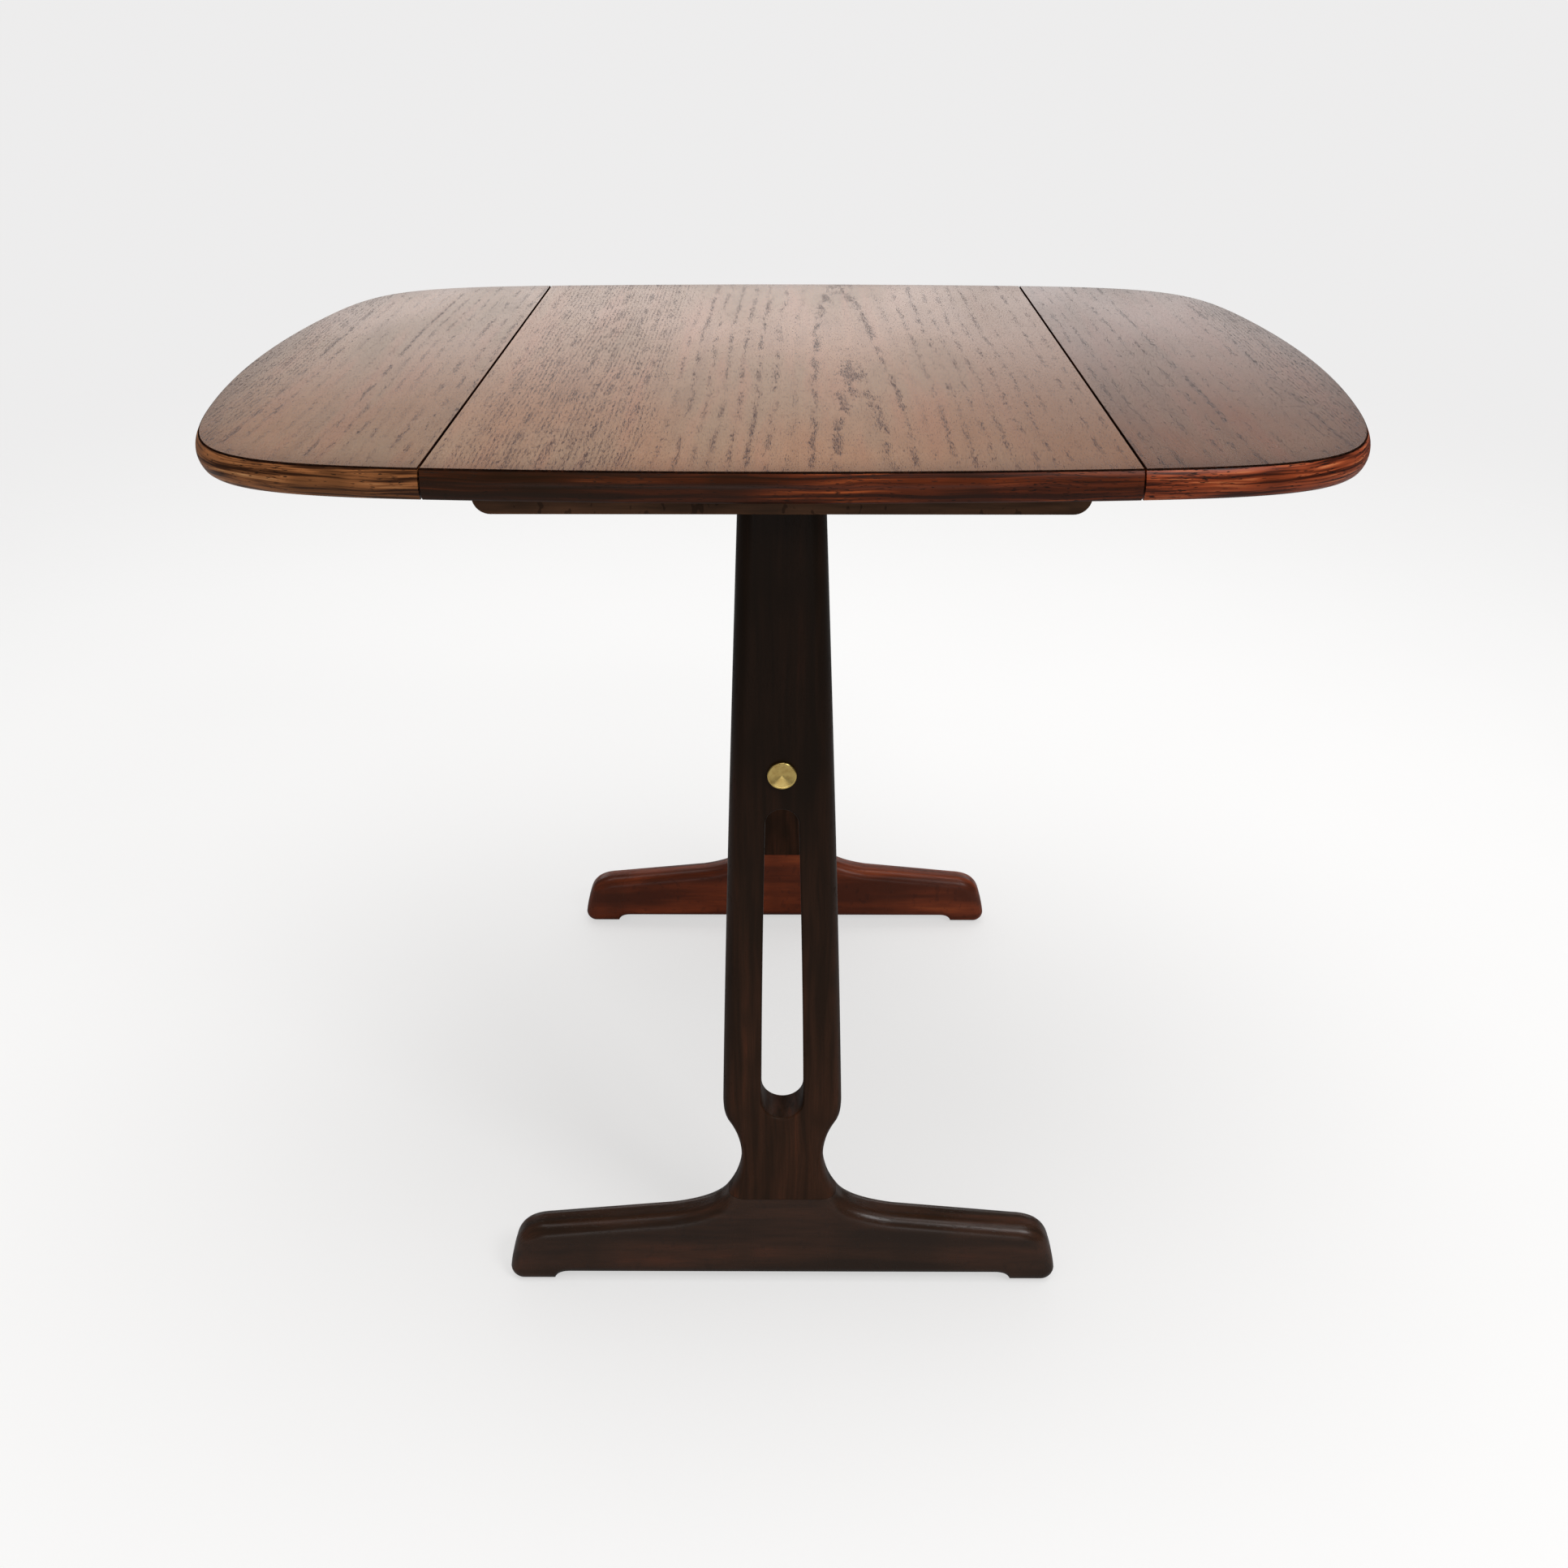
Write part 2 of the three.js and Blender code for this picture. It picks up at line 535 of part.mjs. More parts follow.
function addHinge(group, name, y) {
  const half = HINGE.length / 2;
  place(group, `${name}_board_plate`, hingePlate(y, -1), brass);
  place(group, `${name}_leaf_plate`, hingePlate(y, 1), brass);
  const pin = rod(HINGE.pin, y - half - 0.5, y + half + 0.5, 10).translate(SEAM_X, 0, AXIS_Z);
  place(group, `${name}_pin`, pin, steel);
}

// ---------------------------------------------------------------- folding stays: a parallelogram each

const DIP_X = STAY_REACH * Math.cos(STAY_DIP);
const DIP_Z = STAY_REACH * Math.sin(STAY_DIP);
const boardPivot = new THREE.Vector2(SEAM_X - DIP_X, AXIS_Z - DIP_Z);
const leafPivot = new THREE.Vector2(SEAM_X + DIP_X, AXIS_Z - DIP_Z);
const elbow = new THREE.Vector2(SEAM_X, AXIS_Z - 2 * DIP_Z);

// The arms lie side by side: layer 0 is on the table's middle plane, layer 1 behind it.
function layer(index) {
  const middle = index * (STAY.thickness + STAY.gap);
  return [middle - STAY.thickness / 2, middle + STAY.thickness / 2];
}

function pivotHole(pivot, radius) {
  return rod(radius, -FAR, FAR, 12).translate(pivot.x, 0, pivot.y);
}

function arm(from, to, layerIndex) {
  const half = STAY.width / 2;
  const length = from.distanceTo(to);
  const angle = Math.atan2(to.y - from.y, to.x - from.x);
  const shape = new THREE.Shape();
  shape.absarc(0, 0, half, Math.PI / 2, Math.PI * 1.5);
  shape.absarc(length, 0, half, -Math.PI / 2, Math.PI / 2);
  const [y0, y1] = layer(layerIndex);
  const bar = prism(shape, y0, y1, 5).rotateY(-angle).translate(from.x, 0, from.y);
  return cut(bar, pivotHole(from, STAY.pin + FIT), pivotHole(to, STAY.pin + FIT));
}

// Angle bracket: a foot screwed under the board or leaf, and a tab down to the pivot.
function bracket(pivot, layerIndex, side) {
  const [tab0, tab1] = layer(layerIndex);
  const z1 = UNDERSIDE_Z - GLUE_GAP;
  const z0 = z1 - BRACKET.plate;
  const foot0 = side > 0 ? tab0 : tab1 - BRACKET.reach;
  const half = BRACKET.length / 2;
  const tabHalf = BRACKET.tab / 2;
  const foot = block(pivot.x - half, pivot.x + half, foot0, foot0 + BRACKET.reach, z0, z1);
  const tab = block(pivot.x - tabHalf, pivot.x + tabHalf, tab0, tab1, pivot.y, z1 - 0.2);
  const nose = rod(tabHalf, tab0, tab1, 16).translate(pivot.x, 0, pivot.y);
  const screwX = half - BRACKET.screwInset;
  const screwY = foot0 + BRACKET.reach / 2 + side * BRACKET.screwShift;
  const holes = [-screwX, screwX].map((dx) => screwHole(pivot.x + dx, screwY, z0));
  return cut(join(foot, tab, nose), pivotHole(pivot, STAY.pin + FIT), ...holes);
}

// Rivet through both layers, with a domed head at the front and the back.
function rivet(pivot) {
  const front = layer(0)[0] - FIT;
  const back = layer(1)[1] + FIT;
  const { pin, head, headRise } = STAY;
  const dome = [[0, headRise], [head * 0.7, headRise * 0.8], [head, headRise * 0.3], [head, 0]];
  const profile = [
    ...dome.map(([radius, rise]) => [radius, front - rise]),
    [pin, front],
    [pin, back],
    ...dome.reverse().map(([radius, rise]) => [radius, back + rise]),
  ];
  return turned(profile, 12).translate(pivot.x, 0, pivot.y);
}

// The elbow's bolt has its head behind and takes the thumb nut in front.
function elbowBolt() {
  const front = layer(0)[0] - FIT - THUMB.thickness - 1;
  const back = layer(1)[1] + FIT;
  const { radius, rise } = ELBOW_HEAD;
  const { pin } = STAY;
  const profile = [
    [0, front], [pin - 0.5, front], [pin, front + 0.6], [pin, back],
    [radius, back], [radius, back + rise * 0.6], [radius * 0.6, back + rise * 0.93], [0, back + rise],
  ];
  return turned(profile, 12).translate(elbow.x, 0, elbow.y);
}

function thumbNut() {
  const back = layer(0)[0] - FIT;
  const front = back - THUMB.thickness;
  const rim = [];
  for (let i = 0; i < THUMB.lobes * 2; i += 1) {
    const angle = (i / THUMB.lobes) * Math.PI;
    const radius = THUMB.radius - (i % 2) * THUMB.groove;
    rim.push(new THREE.Vector2(radius * Math.cos(angle), radius * Math.sin(angle)));
  }
  const disc = prism(new THREE.Shape(rim), front, back);
  return cut(disc, rod(STAY.pin + FIT, front - 1, back + 1, 12)).translate(elbow.x, 0, elbow.y);
}

function addStay(group, side) {
  place(group, `${side}_stay_board_bracket`, bracket(boardPivot, 0, -1), brass);
  place(group, `${side}_stay_leaf_bracket`, bracket(leafPivot, 1, 1), brass);
  place(group, `${side}_stay_inner_arm`, arm(boardPivot, elbow, 1), brass);
  place(group, `${side}_stay_outer_arm`, arm(elbow, leafPivot, 0), brass);
  place(group, `${side}_stay_board_rivet`, rivet(boardPivot), steel);
  place(group, `${side}_stay_leaf_rivet`, rivet(leafPivot), steel);
  place(group, `${side}_stay_elbow_bolt`, elbowBolt(), steel);
  place(group, `${side}_stay_thumb_nut`, thumbNut(), brass);
}

// ---------------------------------------------------------------- leaves, drawn on the right

function addLeaf(side, angle) {
  const group = new THREE.Group();
  group.rotation.z = angle;
  table.add(group);
  place(group, `${side}_leaf`, boardWith(leafSlab, leafTrim), topWood);
  const core = leafSlab(LIPPING - GLUE_GAP, 0, FAR);
  const strip = lippingAlong(leafLine, LEAF_STEPS, core, leafStripTrim);
  place(group, `${side}_leaf_lipping`, strip, edgeWood);
  for (const along of [-1, 1]) {
    const end = along * Math.cos(angle) > 0 ? 'rear' : 'front';
    addHinge(group, `${side}_${end}_hinge`, along * HINGE_Y);
  }
  addStay(group, side);
}

addCentreBoard();
addEnd('front', 0);
addEnd('rear', Math.PI);
addStretcher();
addLeaf('right', 0);
addLeaf('left', Math.PI);

export default table;
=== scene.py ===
import math

import bmesh
import bpy
from mathutils import Matrix, Vector
from mathutils.geometry import tessellate_polygon


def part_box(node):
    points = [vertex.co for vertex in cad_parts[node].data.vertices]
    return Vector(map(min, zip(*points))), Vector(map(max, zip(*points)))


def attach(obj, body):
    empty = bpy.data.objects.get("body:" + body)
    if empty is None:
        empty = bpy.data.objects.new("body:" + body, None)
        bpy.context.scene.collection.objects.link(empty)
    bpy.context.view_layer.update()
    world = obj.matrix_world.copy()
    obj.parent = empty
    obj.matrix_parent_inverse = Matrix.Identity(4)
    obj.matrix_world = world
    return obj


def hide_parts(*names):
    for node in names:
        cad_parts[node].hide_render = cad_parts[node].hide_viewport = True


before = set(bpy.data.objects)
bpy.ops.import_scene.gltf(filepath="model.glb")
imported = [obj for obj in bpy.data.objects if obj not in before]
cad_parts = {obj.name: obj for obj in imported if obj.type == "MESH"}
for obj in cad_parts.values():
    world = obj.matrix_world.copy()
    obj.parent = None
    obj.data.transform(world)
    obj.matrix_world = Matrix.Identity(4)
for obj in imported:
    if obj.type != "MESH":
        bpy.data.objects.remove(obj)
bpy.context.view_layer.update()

# Drop leaf table: fine meshes and wood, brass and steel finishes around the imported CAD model.
# Shapes are worked out in millimetres in the CAD frame, and turned into metres when a mesh is made.

# -------------------- sizes, most of them from the CAD nodes


def low(node):
    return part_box(node)[0] * 1000


def high(node):
    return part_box(node)[1] * 1000


TOP_Z = high("centre_panel").z
UNDERSIDE_Z = low("centre_panel").z
BOARD_X = high("centre_panel").x
LEAF_X = low("right_leaf").x
SEAM_X = (BOARD_X + LEAF_X) / 2
OPEN_HALF = high("right_leaf_lipping").x
END_HALF = high("rear_end_lipping").y
END_BOW = 6
SEAM_HALF = END_HALF - END_BOW
LIPPING_TOP_Z = high("rear_end_lipping").z
GAP = 0.1
VENEER_Z = LIPPING_TOP_Z + GAP
LIPPING = 9
EDGE_BULGE = 3
EDGE_RADIUS = 12.17

LEG_FRONT_Y = low("front_leg").y
LEG_BACK_Y = high("front_leg").y
LEG_TOP_Z = high("front_leg").z
BEARER_LOW = low("front_bearer")
BEARER_HIGH = high("front_bearer")
FOOT_HALF = high("front_foot").x
JOINT_Z = 68
LEG_Y = -217
BOLT_Z = 361.6
STRETCHER_LOW = low("stretcher")
STRETCHER_HIGH = high("stretcher")
NUT_Y = -171

AXIS_Z = 515.2
HINGE_Y = 165

# -------------------- camera

camera_data = bpy.data.cameras.new("camera")
camera_data.lens = 37.44
camera_data.sensor_width = 36
camera = bpy.data.objects.new("camera", camera_data)
camera.location = (0.0041, -1.0123, 0.7531)
camera.rotation_euler = (math.radians(63.12), 0, math.radians(0.22))
bpy.context.scene.collection.objects.link(camera)
bpy.context.scene.camera = camera

# -------------------- lines in a plane


def quadratic(start, control, end, count):
    points = []
    for i in range(count + 1):
        t = i / count
        a, b, c = (1 - t) ** 2, 2 * t * (1 - t), t * t
        points.append(tuple(a * p + b * q + c * r for p, q, r in zip(start, control, end)))
    return points


def bezier(start, first, second, end, count):
    points = []
    for i in range(count + 1):
        t = i / count
        weights = ((1 - t) ** 3, 3 * t * (1 - t) ** 2, 3 * t * t * (1 - t), t ** 3)
        points.append(tuple(
            sum(w * p[axis] for w, p in zip(weights, (start, first, second, end))) for axis in (0, 1)
        ))
    return points


def arc(centre, radius, start, end, count):
    points = []
    for i in range(count + 1):
        angle = start + (end - start) * i / count
        points.append((centre[0] + radius * math.cos(angle), centre[1] + radius * math.sin(angle)))
    return points


def chain(*lines):
    points = []
    for line in lines:
        for point in line:
            if not points or math.dist(point, points[-1]) > 1e-4:
                points.append(point)
    if math.dist(points[0], points[-1]) < 1e-4:
        points.pop()
    return points


def circle(centre, radius, count=32):
    return arc(centre, radius, 0, 2 * math.pi, count)[:-1]


def rounded_rectangle(x0, x1, z0, z1, radius, count=5):
    quarter = math.pi / 2
    corners = ((x1 - radius, z0 + radius), (x1 - radius, z1 - radius),
               (x0 + radius, z1 - radius), (x0 + radius, z0 + radius))
    lines = [arc(corner, radius, quarter * (i - 1), quarter * i, count) for i, corner in enumerate(corners)]
    return chain(*lines)


def normals(points, closed=True):
    """Unit normals to the right of travel, stretched at corners so that an offset keeps its distance."""
    found = []
    count = len(points)
    for i, point in enumerate(points):
        before = Vector(points[i - 1] if closed or i else point)
        after = Vector(points[(i + 1) % count] if closed or i < count - 1 else point)
        here = Vector(point)
        edges = [edge.normalized() for edge in (here - before, after - here) if edge.length > 1e-9]
        along = sum(edges, Vector((0, 0))).normalized()
        stretch = max(along.dot(edges[0]), 0.5)
        found.append(Vector((along.y, -along.x)) / stretch)
    return found


# -------------------- solids


def placed(name, mesh):
    obj = bpy.data.objects.new(name, mesh)
    bpy.context.scene.collection.objects.link(obj)
    return obj


def make(name, vertices, faces, material_of=None):
    mesh = bpy.data.meshes.new(name)
    mesh.from_pydata([(x / 1000, y / 1000, z / 1000) for x, y, z in vertices], [], faces)
    if material_of:
        mesh.polygons.foreach_set("material_index", material_of)
    mesh.validate()
    work = bmesh.new()
    work.from_mesh(mesh)
    bmesh.ops.recalc_face_normals(work, faces=work.faces)
    work.to_mesh(mesh)
    work.free()
    return placed(name, mesh)


def bridge(first, second, count):
    """Quads between two closed rings of vertices, numbered from first and second."""
    return [
        (first + i, first + (i + 1) % count, second + (i + 1) % count, second + i) for i in range(count)
    ]


def plate(name, outline, span, arris, holes=(), upright=True, steps=4, outward_at=None):
    """A flat piece with rounded arrises.

    The outline is anticlockwise, in X and Z with its thickness along Y when upright, or in X and Y with
    its thickness along Z. The arris radius is one number, or a list of one for each point.
    A hole is (its anticlockwise outline, its arris radius)."""
    first, last = span

    def at(point, depth):
        return (point[0], depth, point[1]) if upright else (point[0], point[1], depth)

    vertices = []
    faces = []
    caps = [[], []]
    for line, radius, side in [(outline, arris, -1)] + [(hole, r, 1) for hole, r in holes]:
        count = len(line)
        radii = radius if isinstance(radius, list) else [radius] * count
        outward = normals(line)
        if outward_at and side < 0:
            outward = [outward_at(point, normal) for point, normal in zip(line, outward)]
        rings = []
        for back in (False, True):
            for k in range(steps + 1):
                turn = math.pi / 2 * (k if not back else steps - k) / steps
                ring = []
                for point, normal, r in zip(line, outward, radii):
                    inset = r * (1 - math.sin(turn)) * side
                    rise = r * (1 - math.cos(turn))
                    moved = (point[0] + normal.x * inset, point[1] + normal.y * inset)
                    ring.append(at(moved, last - rise if back else first + rise))
                rings.append(ring)
        start = len(vertices)
        for ring in rings:
            vertices.extend(ring)
        for k in range(len(rings) - 1):
            faces.extend(bridge(start + k * count, start + (k + 1) * count, count))
        last_start = start + (len(rings) - 1) * count
        caps[0].append([(start + i, point) for i, point in enumerate(rings[0])])
        caps[1].append([(last_start + i, point) for i, point in enumerate(rings[-1])])
    for cap in caps:
        indices = [index for ring in cap for index, _ in ring]
        triangles = tessellate_polygon([[Vector(point) for _, point in ring] for ring in cap])
        faces.extend(tuple(indices[i] for i in triangle) for triangle in triangles)
    return make(name, vertices, faces)


def lathe(name, profile, origin=(0, 0, 0), axis="Y", segments=48):
    """A turned piece: (radius, distance along the axis) pairs that start and end on the axis."""
    vertices = []
    rings = []
    for radius, along in profile:
        if radius < 1e-6:
            rings.append([len(vertices)])
            vertices.append((0, along, 0))
            continue
        rings.append(list(range(len(vertices), len(vertices) + segments)))
        for i in range(segments):
            angle = 2 * math.pi * i / segments
            vertices.append((radius * math.cos(angle), along, radius * math.sin(angle)))
    faces = []
    for here, there in zip(rings, rings[1:]):
        if len(here) == 1 and len(there) == 1:
            continue
        for i in range(segments):
            j = (i + 1) % segments
            if len(here) == 1:
                faces.append((here[0], there[i], there[j]))
            elif len(there) == 1:
                faces.append((here[i], here[j], there[0]))
            else:
                faces.append((here[i], here[j], there[j], there[i]))
    turned = {
        "X": lambda x, y, z: (y, -x, z), "Y": lambda x, y, z: (x, y, z), "Z": lambda x, y, z: (x, -z, y),
    }[axis]
    moved = [tuple(a + b for a, b in zip(turned(*vertex), origin)) for vertex in vertices]
    return make(name, moved, faces)


def block(x0, x1, y0, y1, z0, z1):
    return plate("block", [(x0, z0), (x1, z0), (x1, z1), (x0, z1)], (y0, y1), 0, steps=1)


def remove(obj):
    mesh = obj.data
    bpy.data.objects.remove(obj)
    bpy.data.meshes.remove(mesh)


def combine(piece, operation, others):
    """Cuts the others out of piece, or joins them to it, and applies the result."""
    for other in others:
        modifier = piece.modifiers.new("combine", "BOOLEAN")
        modifier.operation = operation
        modifier.solver = "EXACT"
        modifier.object = other
    bpy.context.view_layer.update()
    graph = bpy.context.evaluated_depsgraph_get()
    result = bpy.data.meshes.new_from_object(piece.evaluated_get(graph))
    piece.modifiers.clear()
    old = piece.data
    piece.data = result
    bpy.data.meshes.remove(old)
    for other in others:
        remove(other)
    return piece


def carve(piece, *others):
    return combine(piece, "DIFFERENCE", others)


def join(piece, *others):
    return combine(piece, "UNION", others)


def trimmed(piece, name, z, keep_above):
    """A copy of piece cut off at a level, with the cut closed."""
    work = bmesh.new()
    work.from_mesh(piece.data)
    result = bmesh.ops.bisect_plane(
        work, geom=work.verts[:] + work.edges[:] + work.faces[:], dist=1e-7,
        plane_co=(0, 0, z / 1000), plane_no=(0, 0, 1), clear_inner=keep_above, clear_outer=not keep_above,
    )
    edges = [item for item in result["geom_cut"] if isinstance(item, bmesh.types.BMEdge)]
    bmesh.ops.holes_fill(work, edges=edges)
    bmesh.ops.recalc_face_normals(work, faces=work.faces)
    mesh = bpy.data.meshes.new(name)
    work.to_mesh(mesh)
    work.free()
    return placed(name, mesh)


HALF_TURN = Matrix.Rotation(math.pi, 4, "Z")


def settle(piece, body, nodes, materials, turned=False, sharp=35):
    """Gives a finished mesh its shading, finish and body, and hides the CAD nodes it takes the place of.

    A turned piece is the same one half a circle on."""
    if turned:
        piece.data.transform(HALF_TURN)
    piece.data.shade_smooth()
    piece.data.set_sharp_from_angle(angle=math.radians(sharp))
    smooth = piece.modifiers.new("flat faces stay flat", "WEIGHTED_NORMAL")
    smooth.keep_sharp = True
    finish = [polygon.material_index for polygon in piece.data.polygons]
    piece.data.materials.clear()
    for material in materials if isinstance(materials, (list, tuple)) else [materials]:
        piece.data.materials.append(material)
    piece.data.polygons.foreach_set("material_index", finish)
    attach(piece, body)
    if nodes:
        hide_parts(*nodes)
    return piece


# -------------------- node graphs


class Graph:
    """A material's nodes, made by short calls that return output sockets."""

    def __init__(self, name):
        self.material = bpy.data.materials.new(name)
        self.material.use_nodes = True
        self.tree = self.material.node_tree
        self.tree.nodes.clear()
        self.shader = self.node("ShaderNodeBsdfPrincipled")
        self.output = self.node("ShaderNodeOutputMaterial")
        self.tree.links.new(self.shader.outputs[0], self.output.inputs[0])

    def node(self, kind, inputs=(), **settings):
        node = self.tree.nodes.new(kind)
        for key, value in settings.items():
            setattr(node, key, value)
        for key, value in dict(inputs).items():
            self.feed(node, key, value)
        return node

    def feed(self, node, key, value):
        if isinstance(value, bpy.types.NodeSocket):
            self.tree.links.new(value, node.inputs[key])
        else:
            node.inputs[key].default_value = value

    def shade(self, **inputs):
        for key, value in inputs.items():
            self.feed(self.shader, key.replace("_", " "), value)

    def math(self, operation, *values):
        return self.node("ShaderNodeMath", dict(enumerate(values)), operation=operation).outputs[0]

    def plus(self, first, second):
        return self.math("ADD", first, second)

    def minus(self, first, second):
        return self.math("SUBTRACT", first, second)

    def times(self, first, second):
        return self.math("MULTIPLY", first, second)

    def distance(self, x, y):
        """From the origin of a plane."""
        return self.math("SQRT", self.plus(self.times(x, x), self.times(y, y)))

    def wave(self, turns):
        """0 halfway through each turn, and rising to a half at its ends."""
        return self.math("ABSOLUTE", self.minus(self.math("FRACT", turns), 0.5))

    def position(self):
        return self.node("ShaderNodeTexCoord").outputs["Object"]

    def scaled(self, vector, factors, offset=(0, 0, 0)):
        inputs = {0: vector, 1: factors, 2: offset}
        return self.node("ShaderNodeVectorMath", inputs, operation="MULTIPLY_ADD").outputs[0]

    def combine(self, x, y, z=0.0):
        return self.node("ShaderNodeCombineXYZ", {0: x, 1: y, 2: z}).outputs[0]

    def separate(self, vector):
        return self.node("ShaderNodeSeparateXYZ", {0: vector}).outputs

    def noise(self, vector, detail=2.0, roughness=0.5):
        inputs = {"Vector": vector, "Scale": 1.0, "Detail": detail, "Roughness": roughness}
        return self.node("ShaderNodeTexNoise", inputs).outputs[0]

    def streaks(self, across, width, length, reach, depth, detail=2.0, roughness=0.5):
        """Noise in patches about width across the grain and reach along it."""
        x = self.math("DIVIDE", across, width)
        y = self.math("DIVIDE", length, reach)
        return self.noise(self.combine(x, y, depth), detail, roughness)

    def span(self, value, from_low, from_high, to_low=0.0, to_high=1.0):
        """Eases from one number to the other while the value crosses a range."""
        inputs = {
            "Value": value, "From Min": from_low, "From Max": from_high, "To Min": to_low, "To Max": to_high,
        }
        return self.node("ShaderNodeMapRange", inputs, interpolation_type="SMOOTHSTEP").outputs[0]

    def mix(self, amount, first, second):
        return self.node("ShaderNodeMix", {0: amount, 6: first, 7: second}, data_type="RGBA").outputs[2]

    def bump(self, height, strength, distance):
        inputs = {"Strength": strength, "Distance": distance, "Height": height}
        return self.node("ShaderNodeBump", inputs).outputs[0]


# -------------------- colours


def rgb(red, green, blue):
    """A colour given in 0 to 255 as seen on a screen, turned into linear light."""
    linear = []
    for value in (red, green, blue):
        share = value / 255
        linear.append(share / 12.92 if share <= 0.04045 else ((share + 0.055) / 1.055) ** 2.4)
    return (*linear, 1.0)


TOP_TONES = {
    "light": rgb(172, 129, 99), "dark": rgb(134, 94, 69), "cloud": rgb(162, 129, 101),
    "blush": rgb(176, 123, 95), "rim": rgb(98, 64, 45), "pore": rgb(66, 32, 20),
}


def wood_tones(*colours):
    names = ("light", "dark", "accent", "shade", "pore")
    return {name: rgb(*colour) for name, colour in zip(names, colours)}


# INK holds the near-black tones of the board edges, which at the seams are painted shade.
INK = wood_tones((40, 22, 15), (24, 13, 9), (60, 30, 18), (18, 12, 9), (10, 6, 4))
BROWN = wood_tones((180, 114, 66), (60, 31, 13), (248, 190, 130), (46, 27, 13), (22, 12, 5))
ORANGE = wood_tones((176, 80, 42), (66, 24, 10), (246, 158, 102), (48, 22, 11), (24, 10, 5))
CHESTNUT = wood_tones((110, 46, 17), (54, 22, 8), (196, 96, 44), (42, 22, 11), (18, 8, 3))
ESPRESSO = wood_tones((68, 42, 28), (47, 30, 19), (90, 50, 32), (41, 28, 18), (14, 9, 5))
REDDISH = wood_tones((138, 62, 32), (92, 41, 22), (172, 84, 44), (76, 37, 21), (34, 14, 7))
UMBER = wood_tones((98, 66, 45), (66, 44, 28), (116, 78, 54), (58, 40, 27), (22, 13, 8))
UNSTAINED = wood_tones((124, 88, 62), (92, 62, 42), (140, 102, 74), (84, 58, 40), (52, 33, 22))
BEECH = wood_tones((200, 162, 120), (172, 132, 92), (212, 176, 134), (166, 128, 90), (120, 84, 54))

# -------------------- finishes

PORE_DEPTH = 7.0


def grain_space(graph, along, seed):
    """Millimetres as (across the grain, along the grain, into the board)."""
    parts = graph.separate(graph.scaled(graph.position(), (1000, 1000, 1000)))
    order = {"X": (1, 0, 2), "Y": (0, 1, 2), "Z": (0, 2, 1)}[along]
    across, length, depth = (parts[i] for i in order)
    return across, length, graph.plus(depth, seed)


def pores(graph, across, length, depth, density, width, reach):
    """Dark open pores: short dashes along the grain. Density is a socket or number from 0 to 1."""
    layer = graph.math("DIVIDE", depth, PORE_DEPTH)
    value = graph.streaks(across, width, length, reach, layer, 1.0, 0.6)
    limit = graph.math("MULTIPLY_ADD", density, -0.2, 0.73)
    return graph.span(graph.minus(value, limit), 0.0, 0.04)


